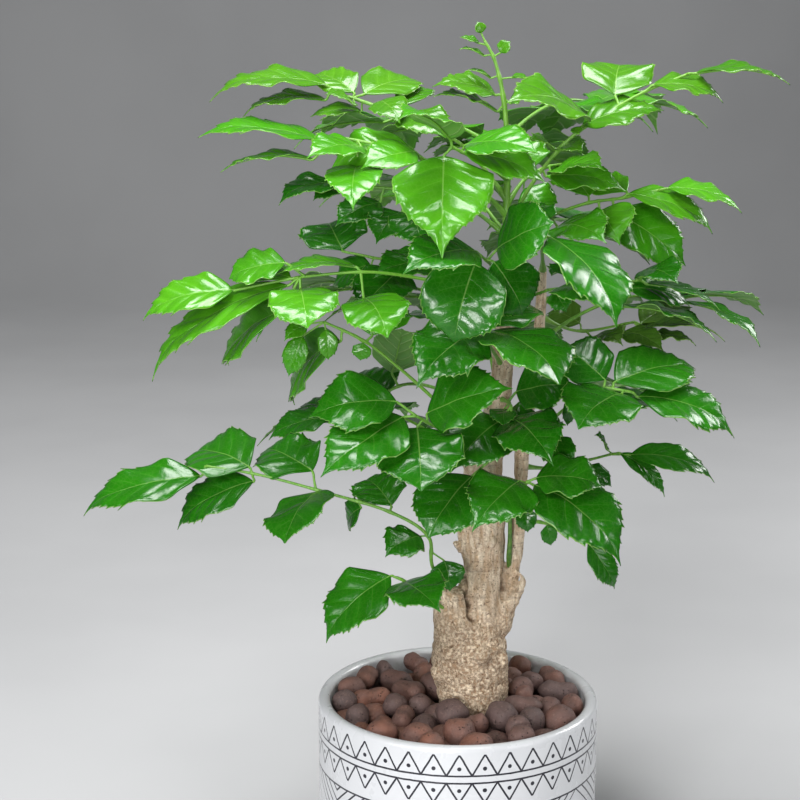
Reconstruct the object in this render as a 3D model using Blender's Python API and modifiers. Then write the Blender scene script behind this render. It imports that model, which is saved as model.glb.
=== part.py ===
"""Potted china doll plant: a straight round pot, potting mix, a bed of clay pebbles,
a woody trunk with a second stem, and a leafy shoot with its compound leaves.

Metres, +Z up. The origin is the centre of the pot's flat base, and -Y faces the viewer.
"""

import math
import random

import bmesh
import bpy
from mathutils import Matrix, Vector, noise
from mathutils.bvhtree import BVHTree

MM = 0.001

# The pot
POT_RADIUS = 75 * MM
POT_HEIGHT = 130 * MM
POT_WALL = 6.5 * MM
POT_FLOOR = 8 * MM
POT_FOOT_BEVEL = 2.5 * MM
POT_FLOOR_BEVEL = 4 * MM
POT_STEPS = 36
LIP_STEPS = 3
POT_BORE = POT_RADIUS - POT_WALL

# What fills the pot
GAP = 0.3 * MM
MIX_TOP = 104 * MM
PEBBLE_BED_TOP = 118 * MM
PEBBLE_HALF = 8.8 * MM
PEBBLE_SPACING = 17 * MM
PEBBLE_SHIFT = 1.6 * MM
PEBBLE_SINK = 2.0 * MM
PEBBLE_RISE = 2.6 * MM
TRUNK_FREE = 20 * MM
MIX_SIDES = 30
BED_SIDES = 30

# The woody trunk and the second stem
BARK_ROUGHNESS = 0.9 * MM
BARK_WRINKLES_PER_M = 70
ROOT_END = 62 * MM
ROOT_TIP_RADIUS = 7 * MM
ROOT_RADIUS = 15 * MM
ROOT_TAPER = 22 * MM

# A leaflet's blade and stalks
BLADE_THICK = 1.6 * MM
BLADE_RATIO = 0.64
WIDEST_HALF = 0.53
FROND_STALK_THICK = 1.3 * MM
FROND_STALK_THIN = 0.8 * MM
LEAF_STALK_RADIUS = 0.8 * MM
LEAF_STALK_LEAST = 4 * MM
LEAF_STALK_SHOWN = 6.5 * MM
SOCKET_DEPTH = 1.2 * MM
SOCKET_REACH = 4 * MM
STEM_LEAVES_FREE = 2 * MM

# The view in which the places of the leaves are read: a picture 800 pixels wide
FOCAL_LENGTH_PX = 2000
PICTURE_CENTRE_PX = 400
VIEW_FROM = Vector((0, -1.014, 0.5295))
VIEW_DOWN = math.radians(13.18)
VIEW_LEFT = math.radians(1.755)

FORWARD = Vector((
    -math.sin(VIEW_LEFT) * math.cos(VIEW_DOWN),
    math.cos(VIEW_LEFT) * math.cos(VIEW_DOWN),
    -math.sin(VIEW_DOWN),
))
RIGHTWARD = Vector((math.cos(VIEW_LEFT), math.sin(VIEW_LEFT), 0))
UPWARD = RIGHTWARD.cross(FORWARD)


def seen_at(px, py, behind):
    """The point seen at pixel px, py that lies so many millimetres behind the pot's axis."""
    ray = FORWARD * FOCAL_LENGTH_PX
    ray = ray + RIGHTWARD * (px - PICTURE_CENTRE_PX) + UPWARD * (PICTURE_CENTRE_PX - py)
    return VIEW_FROM + ray * ((behind * MM - VIEW_FROM.y) / ray.y)


# Stems, from the ground up: pixel, millimetres behind the axis, radius in millimetres
TRUNK = [
    (474, 706, 0, 18.5), (472, 685, 0, 19.6), (470, 660, 0, 20.6), (470, 640, 0, 19.5),
    (472, 620, 0, 16.5), (478, 598, 0, 12.8), (483, 573, 0, 10.8), (482, 548, 0, 11.8),
    (481, 522, 0, 13.0), (482, 496, 0, 12.0), (484, 470, 0, 10.2), (490, 440, 0, 8.2),
    (496, 412, 0, 6.8), (501, 382, 0, 5.8), (503, 352, 0, 5.4), (505, 326, 0, 5.0),
    (506, 302, 0, 4.6),
]
SECOND_STEM = [
    (486, 634, 2, 11.0), (497, 610, 1, 8.8), (508, 588, 1, 5.2), (514, 562, 2, 3.8),
    (518, 530, 3, 3.5), (520, 500, 3, 3.8), (521, 462, 4, 4.2), (526, 416, 5, 4.1),
    (533, 380, 5, 3.8), (538, 345, 4, 3.2), (541, 300, 2, 2.8), (543, 266, 0, 2.2),
]
LEADER = [
    (506, 299.5, 0, 4.3), (507, 262, 0, 3.6), (506.5, 210, 0, 3.1), (507.5, 160, 0, 2.6),
    (505.6, 117, 0, 2.1), (502, 89, 0, 1.7), (498.6, 74, 0, 1.4), (493.5, 57, 0, 1.1),
    (484.6, 40.6, 0, 0.8),
]
WOODY_STUBS = [
    [(466, 652, -3, 16), (457, 622, -7, 12.6), (452, 603, -9, 9.2), (453, 589, -10, 5.0)],
    [(503, 610, 0, 5), (513, 598, -3, 3.6), (521, 587, -4, 2.5), (521, 573, -4, 1.4)],
    [(500, 352, 0, 4.4), (484, 345, -6, 4.0), (472, 339, -9, 3.8)],
    [(484, 476, -4, 6.5), (472, 464, -12, 5.2), (464, 452, -16, 4.2)],
]
STEMS = {"trunk": TRUNK, "second_stem": SECOND_STEM, "leader": LEADER}

# Fronds: the stem each grows from, its tone, its stalk (pixel, millimetres behind the
# axis) and its leaflets. A leaflet has its base and tip pixels, 1 where its tip comes
# toward the viewer or -1 where it points away, its width in millimetres, and the degrees
# that its face turns from the sky toward the viewer and then toward the right.
FRONDS = {
    "frond_hero_top": (
        "leader", "bright",
        [(507, 178, 0), (482, 163, -24), (452, 147, -44)],
        [
            (444, 156, 442, 258, 1, 49, 50, 0), (452, 140, 402, 112, 1, 30, 26, -8),
            (464, 143, 539, 152, 1, 28, 31, 6), (456, 150, 548, 182, 1, 27, 30, 8),
        ],
    ),
    "frond_hero_right": (
        "second_stem", "deep",
        [(543, 270, 0), (542, 250, -26), (541, 234, -44)],
        [
            (551, 235, 619, 326, 1, 48, 46, 38), (540, 228, 524, 206, -1, 22, 32, 0),
        ],
    ),
    "frond_hero_centre": (
        "leader", "deep",
        [(507, 288, 0), (492, 266, -32), (481, 256, -50)],
        [
            (476, 262, 454, 342, 0.35, 41, 62, 0), (479, 248, 403, 270, 1, 33, 30, 0),
            (490, 254, 524, 315, 0.2, 33, 42, 6), (497, 249, 553, 222, -0.3, 36, 34, -26),
        ],
    ),
    "frond_hero_middle": (
        "trunk", "deep",
        [(486, 452, 0), (452, 436, -36), (416, 416, -58)],
        [
            (416, 427, 421, 489, 1, 50, 44, 0), (403, 417, 320, 475, 0.4, 38, 36, -6),
            (397, 402, 308, 416, 0.2, 38, 34, -4), (427, 414, 511, 386, 0.4, 37, 40, 4),
        ],
    ),
    "frond_hero_low_right": (
        "second_stem", "deep",
        [(519, 500, 2), (523, 490, -26), (527, 482, -44)],
        [
            (532, 484, 624, 560, 1, 43, 43, 26), (536, 478, 602, 485, 0.2, 30, 26, 0),
            (523, 481, 473, 527, 1, 35, 42, 0), (526, 508, 528, 533, 0.2, 11, 45, 0),
        ],
    ),
    "frond_right_low_inner": (
        "second_stem", "deep",
        [(516, 524, 2), (540, 522, 10), (572, 534, 16)],
        [
            (588, 542, 617, 589, 1, 17, 40, 8), (540, 517, 551, 546, 1, 9, 45, 0),
        ],
    ),
    "frond_low_centre": (
        "trunk", "deep",
        [(488, 456, 0), (490, 458, -20), (488, 462, -42)],
        [
            (472, 476, 428, 536, 1, 36, 45, -10),
        ],
    ),
    "frond_inner_centre": (
        "trunk", "deep",
        [(499, 398, 0), (508, 402, -16), (511, 406, -26)],
        [
            (516, 392, 572, 384, 0.2, 32, 38, 0), (506, 406, 505, 427, 1, 14, 45, 0),
            (510, 418, 553, 462, 1, 35, 39, 0), (502, 420, 452, 470, 1, 35, 38, 0),
        ],
    ),
    "frond_left_long": (
        "leader", "bright",
        [(505, 294, 0), (440, 282, -22), (370, 272, -38), (300, 277, -40)],
        [
            (288, 285, 144, 372, 1, 29, 28, -26), (300, 289, 307, 327, 1, 34, 40, 0),
            (283, 310, 222, 362, -1, 34, 37, -16), (234, 290, 140, 315, -1, 26, 31, 0),
            (310, 250, 228, 277, -1, 26, 27, 0), (364, 270, 268, 277, 1, 22, 4, 0),
            (361, 298, 387, 334, 1, 32, 36, 0), (291, 278, 220, 287, 1, 20, 26, 0),
        ],
    ),
    "frond_low_left_long": (
        "trunk", "deep",
        [(468, 612, 0), (434, 570, -16), (428, 536, -20), (390, 512, -18), (324, 492, -14),
         (260, 475, -10), (206, 466, -8)],
        [
            (204, 477, 79, 508, 1, 29, 28, 0), (252, 470, 189, 452, -1, 38, 32, 0),
            (256, 475, 174, 526, 1, 30, 30, -16), (321, 490, 283, 541, 1, 38, 42, -34),
            (322, 472, 262, 448, -1, 36, 32, 0), (395, 508, 362, 478, -1, 28, 35, 0),
            (358, 503, 347, 525, -0.5, 18, 45, 0), (446, 550, 450, 592, 0.3, 24, 50, 0),
            (426, 536, 385, 555, 0.4, 25, 28, 0),
        ],
    ),
    "frond_lowest_left": (
        "trunk", "deep",
        [(466, 622, 0), (434, 602, -22), (410, 584, -34), (398, 578, -36)],
        [
            (394, 575, 323, 640, 1, 34, 36, -16), (401, 579, 440, 609, 1, 32, 33, 0),
        ],
    ),
    "frond_right_middle": (
        "second_stem", "deep",
        [(532, 384, 4), (562, 387, -14), (604, 388, -28), (632, 392, -30)],
        [
            (636, 395, 735, 431, 1, 34, 25, 0), (612, 384, 697, 366, -1, 37, 28, 0),
            (606, 384, 562, 346, -1, 38, 34, 0), (624, 391, 579, 424, 1, 40, 36, -8),
            (573, 397, 567, 427, 1, 7, 40, 0),
        ],
    ),
    "frond_right_low_back": (
        "second_stem", "deep",
        [(522, 466, 4), (546, 468, 18), (572, 464, 30), (612, 454, 36)],
        [
            (630, 455, 717, 477, 1, 21, 26, 0), (620, 453, 667, 496, 1, 11, 40, 0),
            (611, 453, 596, 434, 1, 10, 30, 0), (586, 462, 613, 486, 1, 12, 38, 0),
            (566, 466, 561, 442, 1, 12, 38, 0),
        ],
    ),
    "frond_right_back": (
        "second_stem", "olive",
        [(540, 316, 4), (560, 326, 14), (586, 331, 24), (634, 322, 30)],
        [
            (632, 324, 726, 336, 1, 20, 0, 0), (640, 324, 684, 310, -1, 22, 27, 0),
            (650, 336, 697, 342, 1, 14, 8, 0), (622, 326, 664, 350, 1, 18, 26, 0),
            (584, 326, 546, 312, 1, 22, 30, 0), (590, 340, 622, 342, 1, 20, 30, 0),
        ],
    ),
    "frond_right_upper": (
        "second_stem", "deep",
        [(541, 302, 2), (580, 290, 10), (640, 280, 12)],
        [
            (646, 283, 722, 309, 1, 20, 4, 0), (638, 266, 678, 282, 1, 24, 36, 0),
            (622, 287, 692, 305, 1, 22, 30, 0), (594, 286, 563, 261, -1, 31, 32, 0),
        ],
    ),
    "frond_right_inner": (
        "trunk", "deep",
        [(505, 318, 0), (524, 300, -14), (548, 290, -26)],
        [
            (558, 288, 603, 304, 1, 26, 31, 0), (546, 283, 567, 312, 1, 25, 42, 0),
        ],
    ),
    "frond_centre_right": (
        "trunk", "deep",
        [(502, 366, 0), (490, 346, -26), (483, 334, -40)],
        [
            (488, 330, 561, 381, 1, 46, 38, 30), (478, 332, 417, 382, 1, 38, 38, 0),
            (488, 326, 544, 309, -1, 30, 30, 0),
        ],
    ),
    "frond_top_left": (
        "leader", "young",
        [(507, 200, 0), (482, 166, 2), (455, 140, 0), (400, 115, -4), (332, 91, 0)],
        [
            (332, 84, 208, 92, 1, 30, 12, 0), (356, 94, 312, 73, -1, 22, 27, 0),
            (363, 93, 421, 81, -1, 28, 28, 0), (358, 101, 326, 93, 1, 15, 27, 0),
            (328, 101, 240, 112, 1, 22, 10, 0), (364, 112, 310, 116, 1, 16, 16, 0),
            (378, 97, 400, 122, 1, 19, 40, 0), (396, 108, 436, 86, 0.4, 18, 26, 0),
            (405, 114, 446, 136, 1, 26, 31, 0),
        ],
    ),
    "frond_upper_left": (
        "leader", "bright",
        [(507, 216, 0), (470, 180, -10), (430, 162, -18), (386, 147, -22), (334, 136, -20)],
        [
            (325, 143, 198, 132, 1, 27, 10, 0), (331, 167, 220, 170, 1, 20, 1, 0),
            (361, 142, 307, 155, 1, 25, 27, 0), (430, 140, 327, 168, 1, 32, 29, 0),
            (425, 149, 361, 167, 1, 24, 36, 0), (358, 166, 353, 207, 1, 28, 40, 0),
            (446, 168, 412, 190, 1, 22, 30, 0),
        ],
    ),
    "frond_left_fourth": (
        "leader", "deep",
        [(507, 236, 0), (466, 206, 4), (420, 192, 6), (384, 188, 8), (346, 185, 8)],
        [
            (341, 184, 278, 200, 1, 24, 14, 0), (340, 189, 313, 200, 1, 12, 24, 0),
            (384, 203, 335, 225, 1, 22, 34, 0),
            (405, 213, 376, 243, 1, 23, 38, 0), (412, 210, 422, 245, 1, 28, 44, 0),
        ],
    ),
    "frond_left_dark": (
        "leader", "deep",
        [(506, 280, 0), (460, 268, 12), (410, 262, 14), (374, 258, 12)],
        [
            (340, 256, 328, 221, -1, 44, 44, 0), (403, 272, 359, 315, 1, 32, 34, 0),
            (438, 263, 374, 274, 1, 27, 32, 0),
            (372, 262, 332, 286, 1, 26, 27, 0),
        ],
    ),
    "frond_left_small": (
        "trunk", "bright",
        [(489, 444, 0), (440, 404, -16), (404, 372, -22), (366, 342, -26), (324, 322, -28)],
        [
            (325, 326, 328, 361, 1, 10, 51, 0), (303, 336, 288, 377, 1, 13, 43, 0),
            (358, 328, 360, 361, 1, 10, 45, 0), (306, 324, 284, 340, 1, 10, 38, 0),
            (340, 341, 290, 404, -0.4, 32, 46, 0),
            (372, 336, 392, 302, -1, 32, 34, 0),
        ],
    ),
    "frond_left_inner": (
        "trunk", "deep",
        [(489, 436, 0), (452, 396, 14), (408, 384, 24), (372, 402, 28), (346, 424, 30)],
        [
            (331, 417, 267, 437, 1, 22, 24, 0), (352, 420, 300, 404, -1, 28, 27, 0),
            (388, 396, 352, 374, -1, 30, 30, 0),
            (392, 373, 402, 328, 0.3, 27, -60, 0),
        ],
    ),
    "frond_centre_dark": (
        "second_stem", "deep",
        [(526, 414, 5), (540, 418, -10), (550, 430, -18)],
        [
            (548, 424, 502, 428, 1, 30, 34, 0), (550, 438, 567, 471, 1, 19, 42, 0),
        ],
    ),
    "frond_top_right": (
        "leader", "young",
        [(507, 232, 0), (530, 187, -5), (566, 142, -10), (600, 118, -10), (640, 94, -5),
         (688, 74, 0)],
        [
            (695, 73, 791, 82, 1, 25, 5, 0), (640, 84, 725, 97, 1, 27, 15, 0),
            (612, 96, 622, 62, -1, 36, 38, 0), (577, 127, 664, 109, 1, 28, 22, 0),
            (590, 122, 508, 99, 1, 36, 32, 0), (560, 109, 574, 127, 1, 10, 45, 0),
            (560, 148, 530, 138, 1, 14, 30, 0),
            (546, 141, 583, 150, 1, 18, 24, 0),
        ],
    ),
    "frond_right_top_back": (
        "leader", "bright",
        [(507, 204, 0), (524, 180, 12), (544, 168, 20), (562, 164, 24)],
        [
            (548, 170, 604, 167, 1, 26, 22, 0), (546, 176, 627, 189, 1, 25, 28, 0),
            (536, 172, 520, 140, -1, 28, 27, 0), (524, 189, 556, 222, 0.6, 30, 42, 10),
        ],
    ),
    "frond_right_arm": (
        "leader", "bright",
        [(507, 252, 0), (540, 222, 10), (584, 204, 18), (622, 198, 24), (660, 190, 28)],
        [
            (664, 189, 743, 211, 1, 24, 14, 0), (621, 197, 716, 228, 1, 26, 22, 0),
            (628, 196, 574, 190, -1, 27, 26, 0), (614, 212, 688, 264, 1, 34, 42, 6),
            (599, 211, 619, 242, 1, 31, 50, -8), (590, 200, 560, 172, -1, 26, 26, 0),
            (555, 229, 606, 241, 1, 30, 42, 0),
        ],
    ),
}

# Small leaves on the leafy shoot itself, and its growing tip
SHOOT_LEAVES = [
    (485, 41, 477, 21.5, 0, 6, 40, 0), (487, 44, 460, 37, 0, 6, 20, 0),
    (491, 55, 459.5, 48, 2, 6, 10, 0), (498, 54, 510.5, 41, 0, 9, 40, 0),
    (494, 77, 468, 69.4, 2, 6, 10, 0), (512, 77, 528.6, 78, 0, 7, 18, 0),
    (503, 97, 433, 83, 4, 24, 20, 0), (504, 101, 531, 91, 2, 14, 24, 0),
    (503, 108, 434, 93, 4, 18, 6, 0),
]

# Fronds on the far side, placed by a rule: the stem, the height they leave it at,
# their bearing (90 is straight away from the viewer) and their reach, in degrees and metres
BACK_FRONDS = [
    ("trunk", 245 * MM, 128, 0.105), ("second_stem", 262 * MM, 52, 0.100),
    ("trunk", 292 * MM, 96, 0.115), ("trunk", 322 * MM, 140, 0.100),
    ("leader", 352 * MM, 70, 0.105), ("leader", 378 * MM, 118, 0.100),
    ("leader", 402 * MM, 88, 0.085), ("second_stem", 322 * MM, 30, 0.085),
    ("leader", 428 * MM, 50, 0.070), ("leader", 418 * MM, 142, 0.075),
]
BACK_SEED = 41
BACK_RISE = 0.62
BACK_DROOP = 0.42
BACK_LEAF_STALK = 6 * MM
BACK_PLACES = ((2, 0.78), (2, -0.78), (4, 0.95), (4, -0.95), (4, 0))
DEEP_BELOW = 370 * MM


def material(name, colour, roughness):
    """A Principled material, once per name."""
    found = bpy.data.materials.get(name)
    if found:
        return found
    made = bpy.data.materials.new(name)
    made.use_nodes = True
    made.diffuse_color = (*colour, 1)
    shader = made.node_tree.nodes["Principled BSDF"]
    shader.inputs["Base Color"].default_value = (*colour, 1)
    shader.inputs["Roughness"].default_value = roughness
    return made


def white_glaze():
    return material("white_glaze", (0.86, 0.87, 0.89), 0.25)


def potting_mix():
    return material("potting_mix", (0.05, 0.035, 0.025), 0.95)


def clay():
    return material("clay", (0.2, 0.09, 0.07), 0.85)


def bark():
    return material("bark", (0.42, 0.31, 0.21), 0.85)


LEAF_TONES = {
    "young": (0.16, 0.42, 0.05),
    "bright": (0.07, 0.33, 0.03),
    "deep": (0.02, 0.17, 0.02),
    "olive": (0.1, 0.22, 0.05),
}


def leaf_green(tone):
    return material("leaf_" + tone, LEAF_TONES[tone], 0.3)


def clear_scene():
    for obj in list(bpy.data.objects):
        bpy.data.objects.remove(obj, do_unlink=True)


def new_collection(name, helper=False):
    made = bpy.data.collections.new(name)
    bpy.context.scene.collection.children.link(made)
    made.hide_render = helper
    return made


def add_mesh(name, mesh, collection, finish=None):
    obj = bpy.data.objects.new(name, mesh)
    collection.objects.link(obj)
    if finish:
        mesh.materials.clear()
        mesh.materials.append(finish)
    return obj


def mesh_from_faces(name, points, faces):
    mesh = bpy.data.meshes.new(name)
    mesh.from_pydata([tuple(p) for p in points], [], faces)
    mesh.update()
    return mesh


def tube_mesh(name, course, sides_level):
    """A closed tube along (point, radius) pairs, made from a bevelled curve."""
    curve = bpy.data.curves.new(name, "CURVE")
    curve.dimensions = "3D"
    curve.bevel_depth = 1
    curve.bevel_resolution = sides_level
    curve.use_fill_caps = True
    spline = curve.splines.new("POLY")
    spline.points.add(len(course) - 1)
    for place, (point, radius) in zip(spline.points, course):
        place.co = (*point, 1)
        place.radius = radius
    guide = bpy.data.objects.new(name, curve)
    bpy.context.scene.collection.objects.link(guide)
    bpy.context.view_layer.update()
    evaluated = guide.evaluated_get(bpy.context.evaluated_depsgraph_get())
    mesh = bpy.data.meshes.new_from_object(evaluated)
    bpy.data.objects.remove(guide, do_unlink=True)
    bpy.data.curves.remove(curve)
    body = bmesh.new()
    body.from_mesh(mesh)
    bmesh.ops.remove_doubles(body, verts=body.verts, dist=0.01 * MM)
    bmesh.ops.recalc_face_normals(body, faces=body.faces)
    body.to_mesh(mesh)
    body.free()
    return mesh


def combine(target, others, operation):
    """Joins the other objects to the target, or cuts them from it, and removes them."""
    group = bpy.data.collections.new(target.name + "_others")
    bpy.context.scene.collection.children.link(group)
    for other in others:
        for home in list(other.users_collection):
            home.objects.unlink(other)
        group.objects.link(other)
    boolean = target.modifiers.new("combine", "BOOLEAN")
    boolean.operation = operation
    boolean.solver = "MANIFOLD"
    boolean.operand_type = "COLLECTION"
    boolean.collection = group
    bpy.context.view_layer.update()
    evaluated = target.evaluated_get(bpy.context.evaluated_depsgraph_get())
    joined = bpy.data.meshes.new_from_object(evaluated)
    finish = target.data.materials[0] if target.data.materials else None
    target.modifiers.clear()
    target.data = joined
    joined.materials.clear()
    if finish:
        joined.materials.append(finish)
    for other in others:
        bpy.data.objects.remove(other, do_unlink=True)
    bpy.data.collections.remove(group)


def largest_body(obj):
    """Drops loose scraps and sealed hollows, and keeps the object's largest shell."""
    body = bmesh.new()
    body.from_mesh(obj.data)
    unseen = set(body.verts)
    shells = []
    while unseen:
        shell = set()
        edge_of_shell = [unseen.pop()]
        while edge_of_shell:
            vert = edge_of_shell.pop()
            shell.add(vert)
            for edge in vert.link_edges:
                other = edge.other_vert(vert)
                if other in unseen:
                    unseen.remove(other)
                    edge_of_shell.append(other)
        shells.append(shell)
    shells.sort(key=len, reverse=True)
    scraps = [vert for shell in shells[1:] for vert in shell]
    bmesh.ops.delete(body, geom=scraps, context="VERTS")
    body.to_mesh(obj.data)
    body.free()


def course_of(stem):
    return [(seen_at(px, py, behind), radius * MM) for px, py, behind, radius in stem]


def build_pot(home):
    """The straight glazed pot, turned as one profile: up its inside, over the lip, down."""
    lip = POT_WALL / 2
    profile = [
        (0, POT_FLOOR), (POT_BORE - POT_FLOOR_BEVEL, POT_FLOOR),
        (POT_BORE, POT_FLOOR + POT_FLOOR_BEVEL),
    ]
    for k in range(LIP_STEPS + 1):
        turn = math.pi * (1 - k / LIP_STEPS)
        out = POT_RADIUS - lip + lip * math.cos(turn)
        profile.append((out, POT_HEIGHT - lip + lip * math.sin(turn)))
    profile += [(POT_RADIUS, POT_FOOT_BEVEL), (POT_RADIUS - POT_FOOT_BEVEL, 0), (0, 0)]
    mesh = bpy.data.meshes.new("pot")
    edges = [(i, i + 1) for i in range(len(profile) - 1)]
    mesh.from_pydata([(x, 0, z) for x, z in profile], edges, [])
    pot = add_mesh("pot", mesh, home, white_glaze())
    screw = pot.modifiers.new("turned", "SCREW")
    screw.steps = POT_STEPS
    screw.render_steps = POT_STEPS
    screw.use_merge_vertices = True
    screw.merge_threshold = 0.00001
    return pot


def cylinder(name, radius, bottom, top, sides, home):
    mesh = bpy.data.meshes.new(name)
    body = bmesh.new()
    bmesh.ops.create_cone(
        body, cap_ends=True, segments=sides, radius1=radius, radius2=radius, depth=top - bottom,
        matrix=Matrix.Translation((0, 0, (top + bottom) / 2)),
    )
    body.to_mesh(mesh)
    body.free()
    return add_mesh(name, mesh, home)


def trunk_course():
    """The trunk's course, with its root end run down into the potting mix."""
    course = course_of(TRUNK)
    foot = course[0][0]
    root_tip = Vector((foot.x, foot.y, ROOT_END))
    root = [(root_tip, ROOT_TIP_RADIUS), (root_tip + Vector((0, 0, ROOT_TAPER)), ROOT_RADIUS)]
    return root + course


def roughened(mesh):
    """The mesh with its surface moved in and out a little by a smooth noise."""
    for vert in mesh.vertices:
        vert.co += vert.normal * (noise.noise(vert.co * BARK_WRINKLES_PER_M) * BARK_ROUGHNESS)
    return mesh


def build_trunk(home):
    """The woody trunk with its second stem and the stubs of old branches, in one piece."""
    trunk = add_mesh("trunk", roughened(tube_mesh("trunk", trunk_course(), 3)), home, bark())
    second = roughened(tube_mesh("second_stem", course_of(SECOND_STEM), 2))
    limbs = [add_mesh("second_stem", second, home)]
    for stub in WOODY_STUBS:
        limbs.append(add_mesh("stub", tube_mesh("stub", course_of(stub), 2), home))
    combine(trunk, limbs, "UNION")
    return trunk


def trunk_clearance(home, name):
    """The trunk's lower end, a little thicker, which leaves its hole in what it stands in."""
    top = POT_HEIGHT + 20 * MM
    course = [(point, radius + 2 * GAP) for point, radius in trunk_course() if point.z < top]
    course[0] = (course[0][0] - Vector((0, 0, 2 * GAP)), course[0][1])
    cutter = add_mesh(name, tube_mesh(name, course, 3), home)
    for vert in cutter.data.vertices:
        vert.co += vert.normal * BARK_ROUGHNESS
    return cutter


def build_potting_mix(home):
    bottom = POT_FLOOR + POT_FLOOR_BEVEL + GAP
    mix = cylinder("potting_mix", POT_BORE - 2 * GAP, bottom, MIX_TOP, MIX_SIDES, home)
    mix.data.materials.append(potting_mix())
    combine(mix, [trunk_clearance(home, "trunk_hole_in_mix")], "DIFFERENCE")
    return mix


def pebble(name, place, half, draw, home):
    """One round clay pebble: a low sphere, stretched and turned at random."""
    mesh = bpy.data.meshes.new(name)
    body = bmesh.new()
    bmesh.ops.create_uvsphere(body, u_segments=6, v_segments=4, radius=1)
    long, broad, high = draw.uniform(0.95, 1.3), draw.uniform(0.86, 1.0), draw.uniform(0.8, 0.95)
    stretch = Matrix.Diagonal((half * long, half * broad, half * high, 1))
    turn = Matrix.Rotation(draw.uniform(0, math.pi), 4, "Z")
    turn = turn @ Matrix.Rotation(draw.uniform(-0.4, 0.4), 4, "X")
    bmesh.ops.transform(body, matrix=Matrix.Translation(place) @ turn @ stretch, verts=body.verts)
    body.to_mesh(mesh)
    body.free()
    return add_mesh(name, mesh, home)


def build_pebbles(home):
    """The bed of clay pebbles, joined in one body that fills the opening round the trunk."""
    draw = random.Random(7)
    bed_bottom = MIX_TOP + GAP
    bed_middle = PEBBLE_BED_TOP - 0.3 * PEBBLE_HALF
    bed = cylinder("clay_pebbles", POT_BORE - 3 * GAP, bed_bottom, bed_middle, BED_SIDES, home)
    bed.data.materials.append(clay())
    foot = trunk_course()[2][0]
    pebbles = []
    row_step = PEBBLE_SPACING * math.sqrt(3) / 2
    rows = int(POT_BORE / row_step) + 1
    for row in range(-rows, rows + 1):
        for column in range(-rows, rows + 1):
            x = (column + 0.5 * (row % 2)) * PEBBLE_SPACING + draw.uniform(-PEBBLE_SHIFT, PEBBLE_SHIFT)
            y = row * row_step + draw.uniform(-PEBBLE_SHIFT, PEBBLE_SHIFT)
            lift = draw.uniform(-PEBBLE_SINK, PEBBLE_RISE)
            out = math.hypot(x, y)
            to_trunk = math.hypot(x - foot.x, y - foot.y)
            if out > POT_BORE - 1.12 * PEBBLE_HALF or to_trunk < TRUNK_FREE:
                continue
            place = Vector((x, y, PEBBLE_BED_TOP + lift))
            pebbles.append(pebble("pebble", place, PEBBLE_HALF, draw, home))
    combine(bed, pebbles, "UNION")
    keep_in = cylinder("pot_bore", POT_BORE - 2 * GAP, bed_bottom - MM, POT_HEIGHT + 10 * MM, 48, home)
    combine(bed, [keep_in], "INTERSECT")
    combine(bed, [trunk_clearance(home, "trunk_hole_in_pebbles")], "DIFFERENCE")
    largest_body(bed)
    return bed


# Leaflets. The outline is the half width at each share of the length, as a share of the
# half width at the broadest place; a tooth stands out before each notch.
OUTLINE = [
    (0, 0.05), (0.05, 0.5), (0.14, 0.8), (0.28, 0.98), (0.42, 1.0), (0.58, 0.86),
    (0.72, 0.58), (0.83, 0.28), (0.9, 0.11), (1, 0),
]
TEETH = [(0.09, 0), (0.33, 0.05), (0.39, -0.06), (0.61, 0.07), (0.83, 0)]
SMALL_TEETH = [(0.12, 0), (0.4, 0.03), (0.8, 0)]
RIB = [0.3, 0.62]
SMALL_RIB = [0.45]
ARCH = 0.09
FOLD = 0.12
SMALL_LEAF = 26 * MM


def half_width(u):
    for (u0, w0), (u1, w1) in zip(OUTLINE, OUTLINE[1:]):
        if u <= u1:
            return w0 + (w1 - w0) * (u - u0) / (u1 - u0)
    return 0


class Leaflet:
    """A leaflet's place: where its stalk joins, its blade's base and tip, and how it faces."""

    def __init__(self, joint, base, tip, width, facing, lean):
        reach = max((base - joint).length, LEAF_STALK_LEAST)
        along = (tip - base).normalized()
        away = (base - joint).normalized() if (base - joint).length > 0.5 * MM else along
        while away.dot(along) < 0.5:
            away = (away + 0.4 * along).normalized()
        self.joint = joint
        self.reach = reach
        self.base = joint + away * reach
        self.tip = tip
        self.length = (tip - self.base).length
        self.along = (tip - self.base).normalized()
        self.away = away
        upright = math.cos(lean)
        up = Vector((math.sin(lean), -math.sin(facing) * upright, math.cos(facing) * upright))
        self.up = (up - self.along * up.dot(self.along)).normalized()
        self.side = self.along.cross(self.up)
        self.half = min(width / 2, WIDEST_HALF * self.length)

    def spot(self, u, across, rise=0):
        """A point of the blade: share u along it, distance across it, height over its face."""
        arch = 4 * u * (1 - u) * ARCH * self.length
        fold = abs(across) * FOLD
        flat = self.base + self.along * (self.length * u) + self.side * across
        return flat + self.up * (arch + fold + rise)


def strip(rim, rib, turned):
    """Triangles between the rim's points and the rib's, each a list of (share, index)."""
    faces = []
    i = j = 0
    while i < len(rim) - 1 or j < len(rib) - 1:
        if j == len(rib) - 1 or (i < len(rim) - 1 and rim[i + 1][0] <= rib[j + 1][0]):
            face = (rim[i][1], rim[i + 1][1], rib[j][1])
            i += 1
        else:
            face = (rim[i][1], rib[j + 1][1], rib[j][1])
            j += 1
        faces.append(face[::-1] if turned else face)
    return faces


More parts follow.
